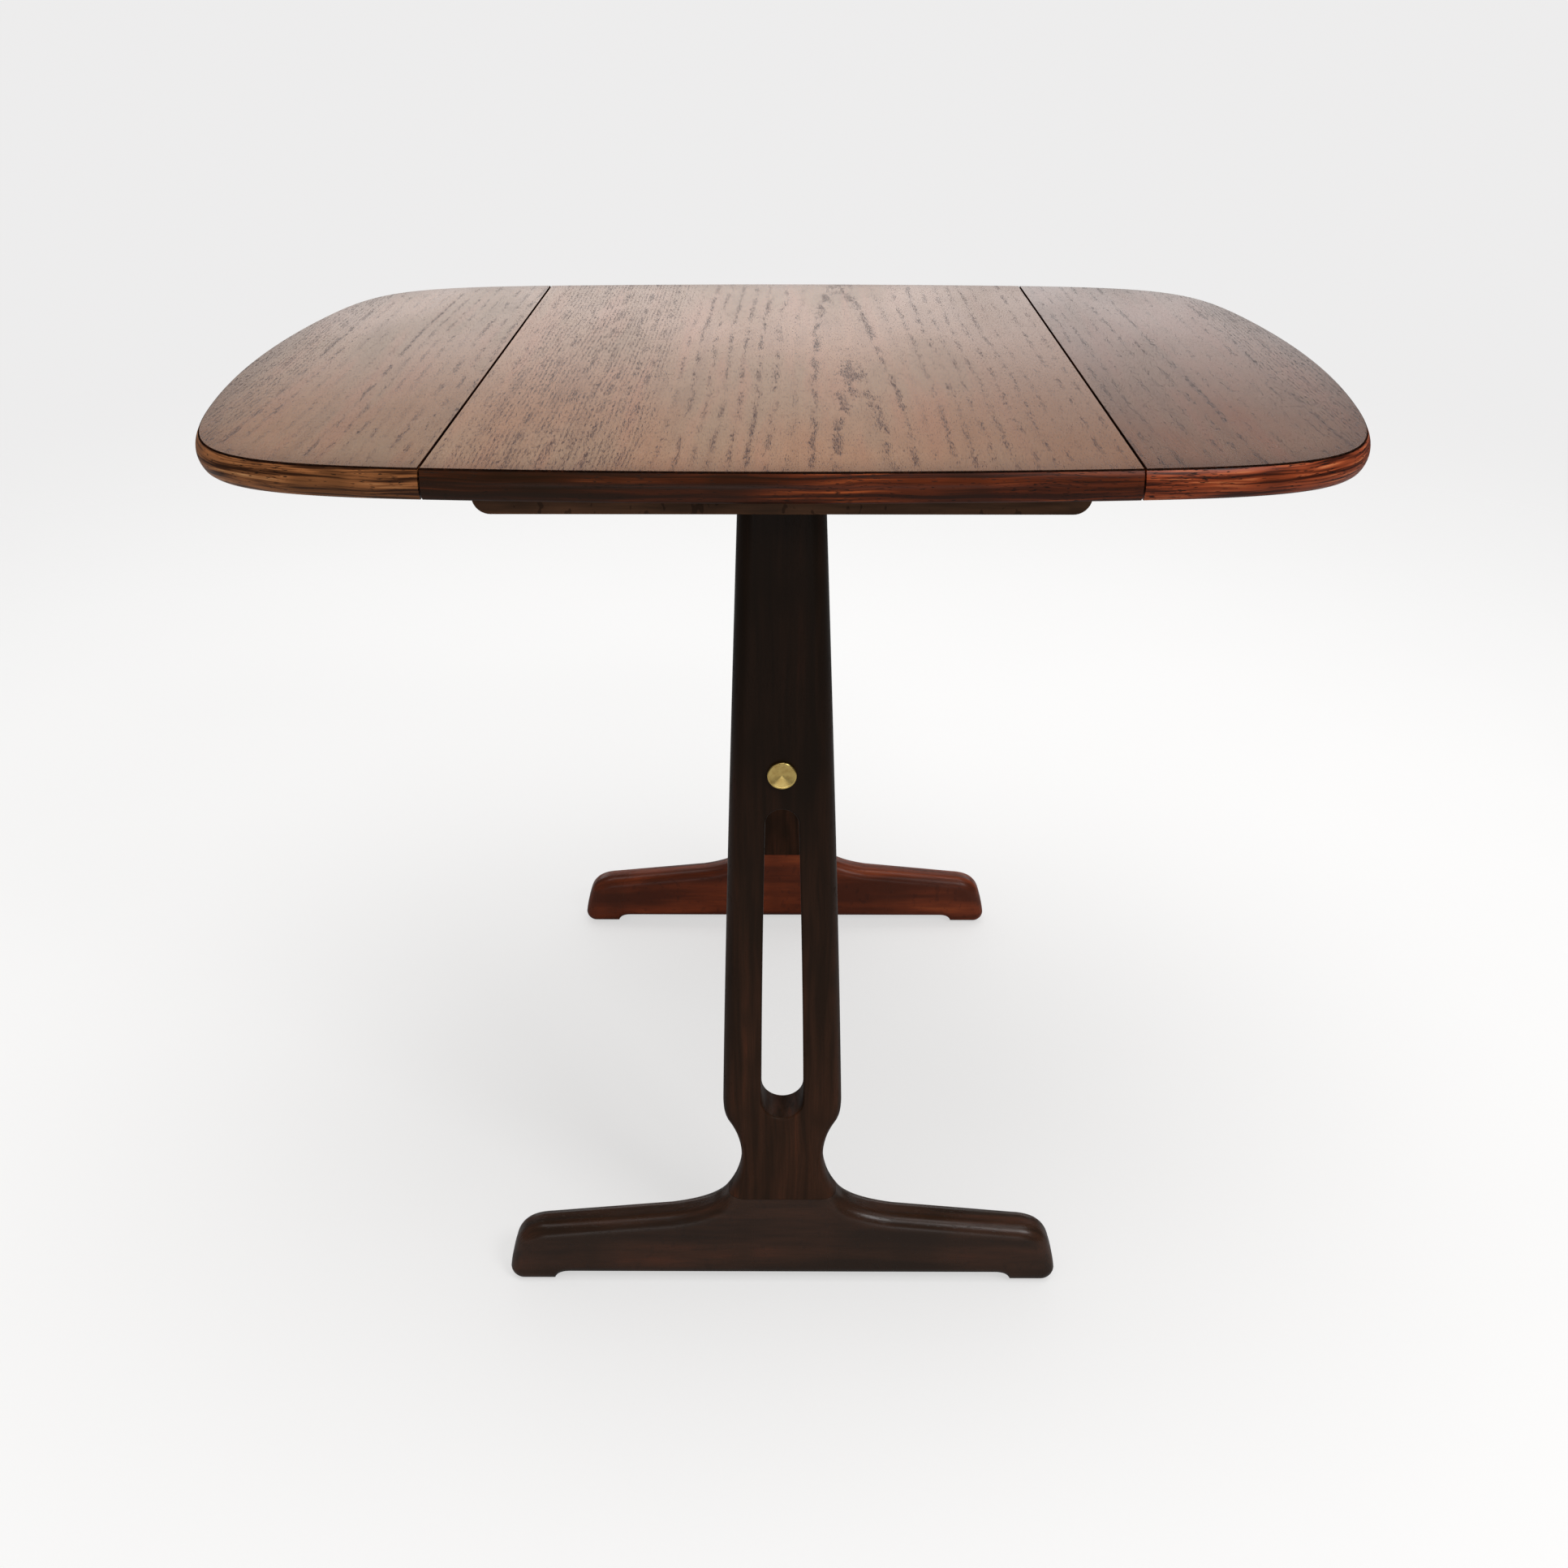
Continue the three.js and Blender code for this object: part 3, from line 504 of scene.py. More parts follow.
def veneer(side, seed, heart, pitch, dense, stain=(1, 1, 1), deepen=0.0):
    """The face veneer of one board, with its pores in rows along the growth rings.

    heart is (x of the flattest cut, its distance from the pith), and pitch is from ring to ring.
    dense is (x, half width) of a closer pored band.
    stain is how much red, green and blue light the board gives back.
    deepen is how much darker the board grows towards its right edge."""
    tones = {
        name: tuple(a * b for a, b in zip(colour, (*stain, 1.0))) for name, colour in TOP_TONES.items()
    }
    graph = Graph(f"top_veneer_{side}")
    across, length, depth = grain_space(graph, "Y", seed)
    drift = graph.streaks(across, 60.0, length, 300.0, seed)
    bent = graph.plus(across, graph.math("MULTIPLY_ADD", drift, 14.0, -7.0))
    pith = graph.math("MULTIPLY_ADD", length, 0.03, heart[1])
    radius = graph.distance(graph.minus(bent, heart[0]), pith)
    turns = graph.math("DIVIDE", radius, pitch)
    strength = graph.node(
        "ShaderNodeTexWhiteNoise", {"W": graph.math("FLOOR", turns)}, noise_dimensions="1D",
    ).outputs["Value"]
    cluster = graph.streaks(bent, 6.0, length, 30.0, seed + 3.0)
    broken = graph.times(graph.span(strength, 0.0, 1.0, 0.6, 1.0), graph.span(cluster, 0.36, 0.6, 0.3, 1.2))
    rows = graph.times(graph.span(graph.wave(turns), 0.04, 0.3, 1.0, 0.35), broken)
    away = graph.math("ABSOLUTE", graph.minus(across, dense[0]))
    close = graph.span(away, dense[1] / 2, dense[1], 1.0, 0.0)
    fine_rings = graph.wave(graph.math("DIVIDE", radius, 2.6))
    near = graph.span(fine_rings, 0.1, 0.4, 0.95, 0.4)
    lines = graph.times(near, graph.span(cluster, 0.3, 0.62, 0.6, 1.1))
    amount = graph.math("MAXIMUM", rows, graph.times(close, lines))
    dashes = pores(graph, bent, length, depth, amount, 0.42, 7.0)
    fine = pores(graph, bent, length, depth, graph.math("MAXIMUM", amount, 0.6), 0.3, 5.0)
    dark = graph.math("MAXIMUM", dashes, graph.times(fine, 0.7))

    fibre = graph.streaks(bent, 0.5, length, 50.0, seed)
    cloud = graph.streaks(across, 60.0, length, 170.0, seed + 5.0)
    blush = graph.streaks(bent, 14.0, length, 220.0, seed + 8.0)
    rim = graph.node("ShaderNodeAttribute", attribute_name="rim").outputs["Fac"]
    plain = graph.mix(graph.span(cloud, 0.36, 0.66), tones["light"], tones["cloud"])
    plain = graph.mix(graph.span(blush, 0.45, 0.7, 0.0, 0.6), plain, tones["blush"])
    plain = graph.mix(graph.span(blush, 0.5, 0.3, 0.0, 0.35), plain, tones["dark"])
    plain = graph.mix(graph.span(fibre, 0.35, 0.75, 0.0, 0.25), plain, tones["dark"])
    plain = graph.mix(graph.times(amount, 0.35), plain, tones["dark"])
    plain = graph.mix(graph.span(across, 20.0, SEAM_X, 0.0, deepen), plain, tones["dark"])
    plain = graph.mix(graph.times(rim, 0.5), plain, tones["rim"])
    height = graph.minus(graph.times(fibre, 0.12), dark)
    graph.shade(
        Base_Color=graph.mix(graph.times(dark, 0.95), plain, tones["pore"]),
        Roughness=graph.plus(graph.span(cloud, 0.3, 0.7, 0.17, 0.22), graph.times(dark, 0.1)),
        Specular_IOR_Level=graph.math("MULTIPLY_ADD", dark, -0.3, 0.5),
        Normal=graph.bump(height, 0.08, 0.0002),
    )
    return graph.material


def solid_wood(name, along, seed, tones, streak=(3.0, 120.0), gloss=0.4, shine=0.12, pore_share=0.5,
               strip=False, fade=None):
    """Solid stained wood with streaks, fine fibre and small pores.

    streak is the streaks' size across and along the grain, in millimetres.
    A strip takes its grain from its own map.
    fade is (where it starts along the grain, where it's full, the darker colour there)."""
    graph = Graph(name)
    if strip:
        flat = graph.node("ShaderNodeUVMap", uv_map="grain").outputs[0]
        parts = graph.separate(graph.scaled(flat, (1000, 1000, 0)))
        across, length, depth = parts[1], parts[0], seed
    else:
        across, length, depth = grain_space(graph, along, seed)
    wander = graph.streaks(across, 12.0, length, 60.0, seed, 1.0)
    bent = graph.plus(across, graph.math("MULTIPLY_ADD", wander, 5.0, -2.5))
    width, reach = streak
    wide = graph.streaks(bent, width, length, reach, graph.math("DIVIDE", depth, width * 3), 3.0, 0.55)
    fibre = graph.streaks(bent, 0.45, length, 22.0, graph.math("DIVIDE", depth, 0.9))
    patch = graph.streaks(across, 22.0, length, 55.0, seed + 2.0)
    dark = pores(graph, bent, length, depth, graph.span(patch, 0.3, 0.7, 0.2, 0.75), 0.6, 5.0)
    lit = graph.times(graph.span(wide, 0.54, 0.72), graph.span(patch, 0.42, 0.62))
    colour = graph.mix(graph.span(wide, 0.36, 0.6), tones["dark"], tones["light"])
    colour = graph.mix(lit, colour, tones["accent"])
    colour = graph.mix(graph.span(patch, 0.5, 0.3, 0.0, 0.6), colour, tones["shade"])
    colour = graph.mix(graph.span(fibre, 0.4, 0.75, 0.0, 0.4), colour, tones["dark"])
    colour = graph.mix(graph.times(dark, pore_share), colour, tones["pore"])
    if fade:
        start, full, darker = fade
        colour = graph.mix(graph.span(length, start, full, 0.0, 0.8), colour, darker)
    matt = graph.span(patch, 0.3, 0.7, gloss - 0.04, gloss + 0.05)
    height = graph.minus(graph.times(fibre, 0.2), graph.times(dark, 0.7))
    graph.shade(
        Base_Color=colour,
        Roughness=graph.plus(matt, graph.times(dark, 0.15)),
        Specular_IOR_Level=shine,
        Normal=graph.bump(height, 0.2, 0.00015),
    )
    return graph.material


def metal(name, colour, stain, gloss, tarnish):
    graph = Graph(name)
    position = graph.position()
    cloudy = graph.noise(graph.scaled(position, (160, 160, 160)), 3.0)
    scratch = graph.noise(graph.scaled(position, (2500, 300, 1800)))
    graph.shade(
        Base_Color=graph.mix(graph.span(cloudy, 0.35, 0.7, 0.0, tarnish), colour, stain),
        Roughness=graph.plus(graph.span(cloudy, 0.3, 0.7, gloss, gloss + 0.12), graph.times(scratch, 0.08)),
        Metallic=1.0,
        Normal=graph.bump(scratch, 0.06, 0.0001),
    )
    return graph.material


def turned_metal(name, colour, stain):
    """A bolt head from the lathe: fine rings that spread light outwards, and a polished rim."""
    graph = Graph(name)
    position = graph.position()
    parts = graph.separate(graph.scaled(position, (1000, 1000, 1000), (0, 0, -BOLT_Z)))
    radius = graph.distance(parts[0], parts[2])
    rim = graph.span(radius, 6.4, 6.8)
    rings = graph.noise(graph.combine(graph.times(radius, 7.0), 3.0))
    cloudy = graph.noise(graph.scaled(position, (260, 260, 260)), 3.0)
    graph.shade(
        Base_Color=graph.mix(graph.span(cloudy, 0.4, 0.7, 0.0, 0.6), colour, stain),
        Roughness=graph.plus(graph.span(rim, 0.0, 1.0, 0.26, 0.2), graph.times(rings, 0.06)),
        Metallic=1.0,
        Anisotropic=graph.span(rim, 0.0, 1.0, 0.7, 0.0),
        Anisotropic_Rotation=0.25,
        Tangent=graph.node("ShaderNodeTangent", direction_type="RADIAL", axis="Y").outputs[0],
    )
    return graph.material


veneers = {
    "centre": veneer("centre", 11.0, (40.0, 24.0), 9.0, (-115.0, 70.0), deepen=0.85),
    "left": veneer("left", 47.0, (60.0, 50.0), 8.0, (-330.0, 70.0), (0.84, 0.85, 0.84)),
    "right": veneer("right", 83.0, (-80.0, 50.0), 8.5, (330.0, 70.0), (0.52, 0.43, 0.42)),
}
# Near-black board edges: the thin dark veneer edge above the lipping is the wood's own, while on the walls
# and top arrises at the seams it is painted shade for the gap between the boards.
veneer_edge_and_seam_shade = solid_wood("veneer_edge_and_seam_shade", "Y", 5.0, INK, gloss=0.8, shine=0.0)
edges = {
    "left": solid_wood("edge_left", "X", 21.0, BROWN, (1.6, 50.0), 0.32, 0.2, 0.9, strip=True),
    "right": solid_wood("edge_right", "X", 33.0, ORANGE, (1.6, 50.0), 0.32, 0.2, 0.9, strip=True),
    "front": solid_wood(
        "edge_front", "X", 57.0, CHESTNUT, (2.0, 110.0), 0.32, 0.2, 0.8, strip=True,
        fade=(110.0, 300.0, rgb(40, 24, 10)),
    ),
    "rear": solid_wood("edge_rear", "X", 71.0, CHESTNUT, (2.0, 110.0), 0.32, 0.2, 0.8, strip=True),
}
underside = solid_wood("underside_veneer", "Y", 91.0, UNSTAINED, (14.0, 260.0), 0.6)
PEDESTAL_STREAK = (6.0, 160.0)
# The legs darken along the grain towards their tops: painted shade under the table top and bearer.
leg_wood = {
    end: solid_wood(
        f"{end}_leg_wood", "Z", seed, ESPRESSO, PEDESTAL_STREAK, 0.36, pore_share=0.12,
        fade=(110.0, 430.0, rgb(20, 12, 5)),
    )
    for end, seed in (("front", 13.0), ("rear", 29.0))
}
foot_wood = {
    "front": solid_wood("front_foot_wood", "X", 17.0, ESPRESSO, PEDESTAL_STREAK, 0.27, 0.38, 0.12),
    "rear": solid_wood("rear_foot_wood", "X", 37.0, REDDISH, PEDESTAL_STREAK, 0.3, 0.3, 0.2),
}
bearer_wood = solid_wood("bearer_wood", "X", 43.0, UMBER, (4.0, 140.0), 0.5)
stretcher_wood = solid_wood("stretcher_wood", "Y", 53.0, ESPRESSO, PEDESTAL_STREAK, 0.4)
beech = {
    axis: solid_wood("beech_" + axis.lower(), axis, 61.0, BEECH, (5.0, 90.0), 0.6) for axis in ("Y", "Z")
}
brass = metal("brass", rgb(214, 176, 96), rgb(150, 116, 62), 0.3, 0.5)
turned_brass = turned_metal("turned_brass", rgb(236, 206, 128), rgb(190, 152, 84))
steel = metal("steel", rgb(172, 170, 166), rgb(116, 112, 106), 0.34, 0.4)

# -------------------- the three boards of the top

END_SLOPE = 0.07
END_HANDLE = 104
SIDE_HANDLE = 88
SIDE_RADIUS = 880
SIDE_HALF = 133
SPARE = 12


def leaf_outline():
    """Widest line of the right leaf, from behind the rear seam round to the front seam."""
    turn = math.asin(SIDE_HALF / SIDE_RADIUS)
    centre_x = OPEN_HALF - SIDE_RADIUS
    corner = (centre_x + SIDE_RADIUS * math.cos(turn), SIDE_HALF)
    seam = (SEAM_X, SEAM_HALF)
    end_handle = (SEAM_X + END_HANDLE * math.cos(END_SLOPE), SEAM_HALF - END_HANDLE * math.sin(END_SLOPE))
    side_handle = (corner[0] - SIDE_HANDLE * math.sin(turn), SIDE_HALF + SIDE_HANDLE * math.cos(turn))
    spare = (SEAM_X - SPARE, SEAM_HALF + SPARE * math.tan(END_SLOPE))
    rear = [spare] + bezier(seam, end_handle, side_handle, corner, 44)
    side = arc((centre_x, 0), SIDE_RADIUS, turn, -turn, 32)[1:-1]
    front = [(x, -y) for x, y in reversed(rear)]
    return rear + side + front


LEAF_LINE = leaf_outline()
LEAF_NORMALS = normals(LEAF_LINE, closed=False)


def crossing(first, second, x):
    share = (x - first[0]) / (second[0] - first[0])
    return (x, first[1] + share * (second[1] - first[1]))


def leaf_line(inset, seam_inset=0.0):
    """The right leaf's edge moved inwards and ended at its seam."""
    moved = [(p[0] + n.x * inset, p[1] + n.y * inset) for p, n in zip(LEAF_LINE, LEAF_NORMALS)]
    x = LEAF_X + seam_inset
    return [crossing(moved[1], moved[2], x)] + moved[2:-2] + [crossing(moved[-2], moved[-3], x)]


def end_line(inset, seam_inset=0.0, count=40):
    """The rear end of the centre board, from the left seam to the right one."""
    half = BOARD_X - seam_inset
    points = []
    for i in range(count + 1):
        x = half * (2 * i / count - 1)
        points.append((x, SEAM_HALF + END_BOW * (1 - (x / SEAM_X) ** 2) - inset))
    return points


def centre_loop(inset, seam_inset):
    rear = end_line(inset, seam_inset)
    return rear + [(-x, -y) for x, y in rear]


ARRIS = 0.3
# (height, distance in from the widest line, distance in from the seam, how much of the rim shows)
BOARD_LEVELS = [
    (UNDERSIDE_Z, LIPPING, ARRIS, 0), (UNDERSIDE_Z + ARRIS, LIPPING, 0, 0), (VENEER_Z, LIPPING, 0, 0),
    (VENEER_Z, 2.2, 0, 1), (TOP_Z - 0.2, 2.55, 0, 1), (TOP_Z, 2.95, ARRIS, 1),
    (TOP_Z, 8, ARRIS, 0.75), (TOP_Z, 16, ARRIS, 0.35), (TOP_Z, 30, ARRIS, 0),
]
TOP_FACE, EDGE_FACE, BOTTOM_FACE = 0, 1, 2
# The edge faces, seam walls and seam arrises included, take the near-black edge finish, which at the seams
# is painted shade.
LEVEL_FINISH = [EDGE_FACE] * 5 + [TOP_FACE] * 3
BOARD_SHARP = 20


def board(name, loop_at):
    vertices = []
    faces = []
    finish = []
    rim = []
    for z, inset, seam_inset, share in BOARD_LEVELS:
        loop = loop_at(inset, seam_inset)
        vertices.extend((x, y, z) for x, y in loop)
        rim.extend([share] * len(loop))
    count = len(vertices) // len(BOARD_LEVELS)
    for level, material in enumerate(LEVEL_FINISH):
        faces.extend(bridge(level * count, (level + 1) * count, count))
        finish.extend([material] * count)
    faces.append(tuple(range(count)))
    finish.append(BOTTOM_FACE)
    faces.append(tuple(range(len(vertices) - count, len(vertices))))
    finish.append(TOP_FACE)
    obj = make(name, vertices, faces, finish)
    attribute = obj.data.attributes.new("rim", "FLOAT", "POINT")
    attribute.data.foreach_set("value", rim)
    return obj


def travelled(points):
    """How far along the line each point is."""
    found = [0.0]
    for here, there in zip(points, points[1:]):
        found.append(found[-1] + math.dist(here, there))
    return found


def lipping(name, line_at):
    """The solid strip under the veneer's border, its outer edge one round arc."""
    half = (TOP_Z - UNDERSIDE_Z) / 2
    middle = UNDERSIDE_Z + half
    low_turn = -math.asin(half / EDGE_RADIUS)
    high_turn = math.asin((LIPPING_TOP_Z - middle) / EDGE_RADIUS)
    outer = arc((EDGE_RADIUS, 0), EDGE_RADIUS, math.pi - low_turn, math.pi - high_turn, 14)
    profile = [(LIPPING - GAP, UNDERSIDE_Z), (EDGE_BULGE + 0.5, UNDERSIDE_Z)]
    profile += [(inset, middle + rise) for inset, rise in outer[1:]]
    profile += [(2.9, LIPPING_TOP_Z), (LIPPING - GAP, LIPPING_TOP_Z)]
    base = line_at(0)
    vertices = []
    grain = []
    for (inset, z), v in zip(profile, travelled(profile)):
        for (x, y), u in zip(line_at(inset), travelled(base)):
            vertices.append((x, y, z))
            grain.append((u / 1000, v / 1000))
    count = len(base)
    faces = []
    for k in range(len(profile)):
        here, there = k * count, (k + 1) % len(profile) * count
        faces.extend((here + i, here + i + 1, there + i + 1, there + i) for i in range(count - 1))
    faces.append(tuple(k * count for k in range(len(profile))))
    faces.append(tuple(k * count + count - 1 for k in range(len(profile))))
    obj = make(name, vertices, faces)
    layer = obj.data.uv_layers.new(name="grain")
    for loop in obj.data.loops:
        layer.data[loop.index].uv = grain[loop.vertex_index]
    return obj


def screw_cutter(x, y):
    radius, length = 2.25, 20.25
    profile = [(0, -1), (4.25, -1), (4.25, 0.5), (radius, 2.8), (radius, length - 2), (0, length)]
    return lathe("cutter", profile, (x, y, BEARER_LOW.z), "Z", 24)


SCREW_X = 105
centre = board("table_centre_board", centre_loop)
carve(centre, *[screw_cutter(x, y) for x in (-SCREW_X, SCREW_X) for y in (LEG_Y, -LEG_Y)])
finishes = [veneers["centre"], veneer_edge_and_seam_shade, underside]
settle(centre, "frame", ["centre_panel"], finishes, sharp=BOARD_SHARP)
for end, turned in (("rear", False), ("front", True)):
    strip = lipping(f"{end}_end_edge_strip", end_line)
    settle(strip, "frame", [f"{end}_end_lipping"], edges[end], turned)
for side, turned in (("right", False), ("left", True)):
    leaf = board(f"{side}_leaf_board", leaf_line)
    finishes = [veneers[side], veneer_edge_and_seam_shade, underside]
    settle(leaf, f"{side}_leaf", [f"{side}_leaf"], finishes, turned, BOARD_SHARP)
    strip = lipping(f"{side}_leaf_edge_strip", leaf_line)
    settle(strip, f"{side}_leaf", [f"{side}_leaf_lipping"], edges[side], turned)

# -------------------- pedestal ends, drawn at the front

ROUND = 9
FLOOR_ROUND = 7
TOE_CORNER = 8.5
PAD_INNER = FOOT_HALF - 29
RELIEF = 5.2
FOOT_TENON = (15.25, 4.25)
BEARER_TENON = (12.25, 4.25)
BOLT_HOLE = 3.25
NUT_HOLE = 5.25
BEARER_ROUND = 9


def pedestal_outline():
    """Anticlockwise outline of leg and foot together."""
    cove = (78, 96.5)
    cove_top = math.asin(27.5 / 53)
    cove_bottom = math.asin(31.5 / 53)
    top = LEG_TOP_Z + 8
    cove_line = arc(cove, 53, math.pi - cove_top, math.pi + cove_bottom, 24)
    top_end = (FOOT_HALF - 27, 42.5)
    face_top = (FOOT_HALF - 4.2, 27)
    corner = (FOOT_HALF - TOE_CORNER, TOE_CORNER)
    right = chain(
        quadratic((22.2, top), (32.3, 269), (35.6, 140), 24),
        quadratic((35.6, 140), (35.8, 129), cove_line[0], 10),
        cove_line,
        quadratic(cove_line[-1], (43.1, 54.5), (70, 50.2), 12),
        quadratic((70, 50.2), (108, 46.4), top_end, 8),
        quadratic(top_end, (FOOT_HALF - 8, 41.5), face_top, 16),
        quadratic(face_top, (FOOT_HALF - 1, 2 * TOE_CORNER), (FOOT_HALF, TOE_CORNER), 8),
        arc(corner, TOE_CORNER, 0, -math.pi / 2, 12),
        [(PAD_INNER + 1, 0)],
        quadratic((PAD_INNER + 1, 0), (PAD_INNER - 1, RELIEF), (PAD_INNER - 9, RELIEF), 8),
        [(PAD_INNER - 9 - 130 * i / 12, RELIEF) for i in range(1, 12)],
    )
    left = [(-x, z) for x, z in right]
    return left + right[::-1]


def arris_radius(z):
    """The long arrises are round, and a little less so along the floor."""
    share = max(0, min(1, (z - TOE_CORNER) / 12))
    return FLOOR_ROUND + (ROUND - FLOOR_ROUND) * share


def under_foot(point, normal):
    """Along the underside the arris turns straight up, even round the ends of the pads."""
    flat = abs(point[0]) < FOOT_HALF - TOE_CORNER - 0.5 and point[1] < RELIEF + 1
    return Vector((0, -1)) if flat else normal


def slot_outline():
    top_z, top_r, bottom_z, bottom_r = 330.7, 9.3, 143, 12.7
    middle = ((top_r + bottom_r) / 2 + 0.8, (top_z + bottom_z) / 2)
    return chain(
        quadratic((bottom_r, bottom_z), middle, (top_r, top_z), 20),
        arc((0, top_z), top_r, 0, math.pi, 20),
        quadratic((-top_r, top_z), (-middle[0], middle[1]), (-bottom_r, bottom_z), 20),
        arc((0, bottom_z), bottom_r, math.pi, 2 * math.pi, 24),
    )


def tenon_cutter(half_x, half_y, z0, z1):
    outline = rounded_rectangle(-half_x, half_x, LEG_Y - half_y, LEG_Y + half_y, half_y - 0.2)
    return plate("cutter", outline, (z0, z1), 0, upright=False, steps=1)


def rod_cutter(radius, start, end, origin, axis):
    return lathe("cutter", [(0, start), (radius, start), (radius, end), (0, end)], origin, axis, 32)


def dowel_cutter():
    return rod_cutter(4.25, -221.25, -184.75, (0, 0, BOLT_Z + 13), "Y")


def bolt_piece(name):
    """A turned head on a plain shank. Its face is dished to a shallow cone, and its rim is rounded."""
    face = LEG_FRONT_Y
    heads = [
        (0, 0.8), (0.4, 0.84), (3.4, 1.42), (6.5, 2.04), (6.75, 2.1), (7.0, 2.17), (7.3, 2.2), (7.55, 2.14),
        (7.8, 1.98), (7.95, 1.74), (8.0, 1.45), (8.0, 0.1),
    ]
    profile = [(radius, face - rise) for radius, rise in heads]
    profile += [(3, face - 0.1), (3, face + 61), (2, face + 62), (0, face + 62)]
    return lathe(name, profile, (0, 0, BOLT_Z), "Y", 72)


def nut_piece(name):
    nut = lathe(name, [(0, -9.5), (4.6, -9.5), (5, -9.1), (5, 9.1), (4.6, 9.5), (0, 9.5)],
                (0, NUT_Y, BOLT_Z), "X", 40)
    thread = rod_cutter(BOLT_HOLE, NUT_Y - 10, NUT_Y + 10, (0, 0, BOLT_Z), "Y")
    driver_slot = block(-12, -8.3, NUT_Y - 9, NUT_Y + 9, BOLT_Z - 0.6, BOLT_Z + 0.6)
    return carve(nut, thread, driver_slot)


def wood_screw(name, origin, head, shank, length, angle, sink=0.05):
    """A slotted countersunk screw, driven upwards, with its head at the origin."""
    rake = head * 0.42
    profile = [
        (0, sink), (head - 0.25, sink), (head, sink + 0.12), (head, sink + 0.35),
        (shank, sink + rake + 0.35), (shank, length - 3 * shank), (shank * 0.5, length - shank), (0, length),
    ]
    screw = lathe(name, profile, (0, 0, 0), "Z", 32)
    width = head * 0.13
    groove = block(-head * 1.2, head * 1.2, -width, width, -1, sink + head * 0.24)
    carve(screw, groove)
    screw.data.transform(Matrix.Translation(Vector(origin) / 1000) @ Matrix.Rotation(angle, 4, "Z"))
    return screw


blank = plate(
    "blank", pedestal_outline(), (LEG_FRONT_Y, LEG_BACK_Y),
    [arris_radius(z) for _, z in pedestal_outline()],
    [(slot_outline(), 1.6), (circle((0, BOLT_Z), BOLT_HOLE), 0.2)], steps=8, outward_at=under_foot,
)
for end, turned in (("front", False), ("rear", True)):
    leg = trimmed(blank, f"{end}_slotted_leg", JOINT_Z + GAP, True)
    lower = trimmed(leg, f"{end}_slotted_leg_part", LEG_TOP_Z, False)
    remove(leg)
    lower.name = f"{end}_slotted_leg"
    mortises = [tenon_cutter(*FOOT_TENON, 45, 90.25), tenon_cutter(*BEARER_TENON, 485.25, 516)]
    carve(lower, *mortises, dowel_cutter())
    settle(lower, "frame", [f"{end}_leg"], leg_wood[end], turned)
    foot = trimmed(blank, f"{end}_shaped_foot", JOINT_Z - GAP, False)
    carve(foot, tenon_cutter(*FOOT_TENON, 45.75, 90))
    settle(foot, "frame", [f"{end}_foot"], foot_wood[end], turned)

    low_z, high_z, half_x = BEARER_LOW.z, BEARER_HIGH.z, BEARER_HIGH.x
    bearer_line = chain(
        arc((-half_x + BEARER_ROUND, low_z + BEARER_ROUND), BEARER_ROUND, math.pi, 1.5 * math.pi, 10),
        arc((half_x - BEARER_ROUND, low_z + BEARER_ROUND), BEARER_ROUND, 1.5 * math.pi, 2 * math.pi, 10),
        [(half_x, high_z), (-half_x, high_z)],
    )
    bearer = plate(f"{end}_top_bearer", bearer_line, (BEARER_LOW.y, BEARER_HIGH.y), 0.9, steps=3)
    holes = [screw_cutter(-SCREW_X, LEG_Y), screw_cutter(SCREW_X, LEG_Y)]
    carve(bearer, tenon_cutter(*BEARER_TENON, 500, 515.75), *holes)
    settle(bearer, "frame", [f"{end}_bearer"], bearer_wood, turned)

    bolt = bolt_piece(f"{end}_turned_bolt")
    settle(bolt, "frame", [f"{end}_stretcher_bolt"], turned_brass, turned)
    nut = nut_piece(f"{end}_cross_nut")
    settle(nut, "frame", [f"{end}_barrel_nut"], steel, turned)
    for x in (-SCREW_X, SCREW_X):
        side = "right" if (x > 0) != turned else "left"
        screw = wood_screw(f"{end}_long_screw_{side}", (x, LEG_Y, low_z), 4, 2, 20, 0.7 + x / 50)
        settle(screw, "frame", [f"{end}_bearer_screw_{side}"], steel, turned)
remove(blank)

rail_line = rounded_rectangle(STRETCHER_LOW.x, STRETCHER_HIGH.x, STRETCHER_LOW.z, STRETCHER_HIGH.z, 4, 8)
rail = plate("stretcher_rail", rail_line, (STRETCHER_LOW.y, STRETCHER_HIGH.y), 0.3, steps=1)
for turned in (False, True):
    cutters = [
        rod_cutter(BOLT_HOLE, -210, -161, (0, 0, BOLT_Z), "Y"), dowel_cutter(),
        rod_cutter(NUT_HOLE, -20, 20, (0, NUT_Y, BOLT_Z), "X"),
    ]
    for cutter in cutters:
        if turned:
            cutter.data.transform(HALF_TURN)
    carve(rail, *cutters)
settle(rail, "frame", ["stretcher"], stretcher_wood)

# -------------------- hinges, drawn on the right seam

PLATE_Z = (516.4, 517.9)
KNUCKLE = 2.5
HINGE_HALF = 20
MIDDLE_HALF = 8
FLAP_SCREW_X = 18
FLAP_SCREW_Y = 12
SCREW_HOLE = 1.9


def countersink(x, y, z):
    """Cuts the seat of a small screw's head into a plate's lower face."""
    profile = [(0, -0.5), (3.6, -0.5), (3.05, 0.05), (SCREW_HOLE, 1.2), (0, 1.2)]
    return lathe("cutter", profile, (x, y, z), "Z", 24)


def small_screw(name, x, y, z, angle, body, turned):
    screw = wood_screw(name, (x, y, z), 2.9, 1.4, 12, angle)
    settle(screw, body, [], brass, turned)


def flap_screws(y, side):
    return [(SEAM_X + side * FLAP_SCREW_X, y + dy) for dy in (-FLAP_SCREW_Y, FLAP_SCREW_Y)]


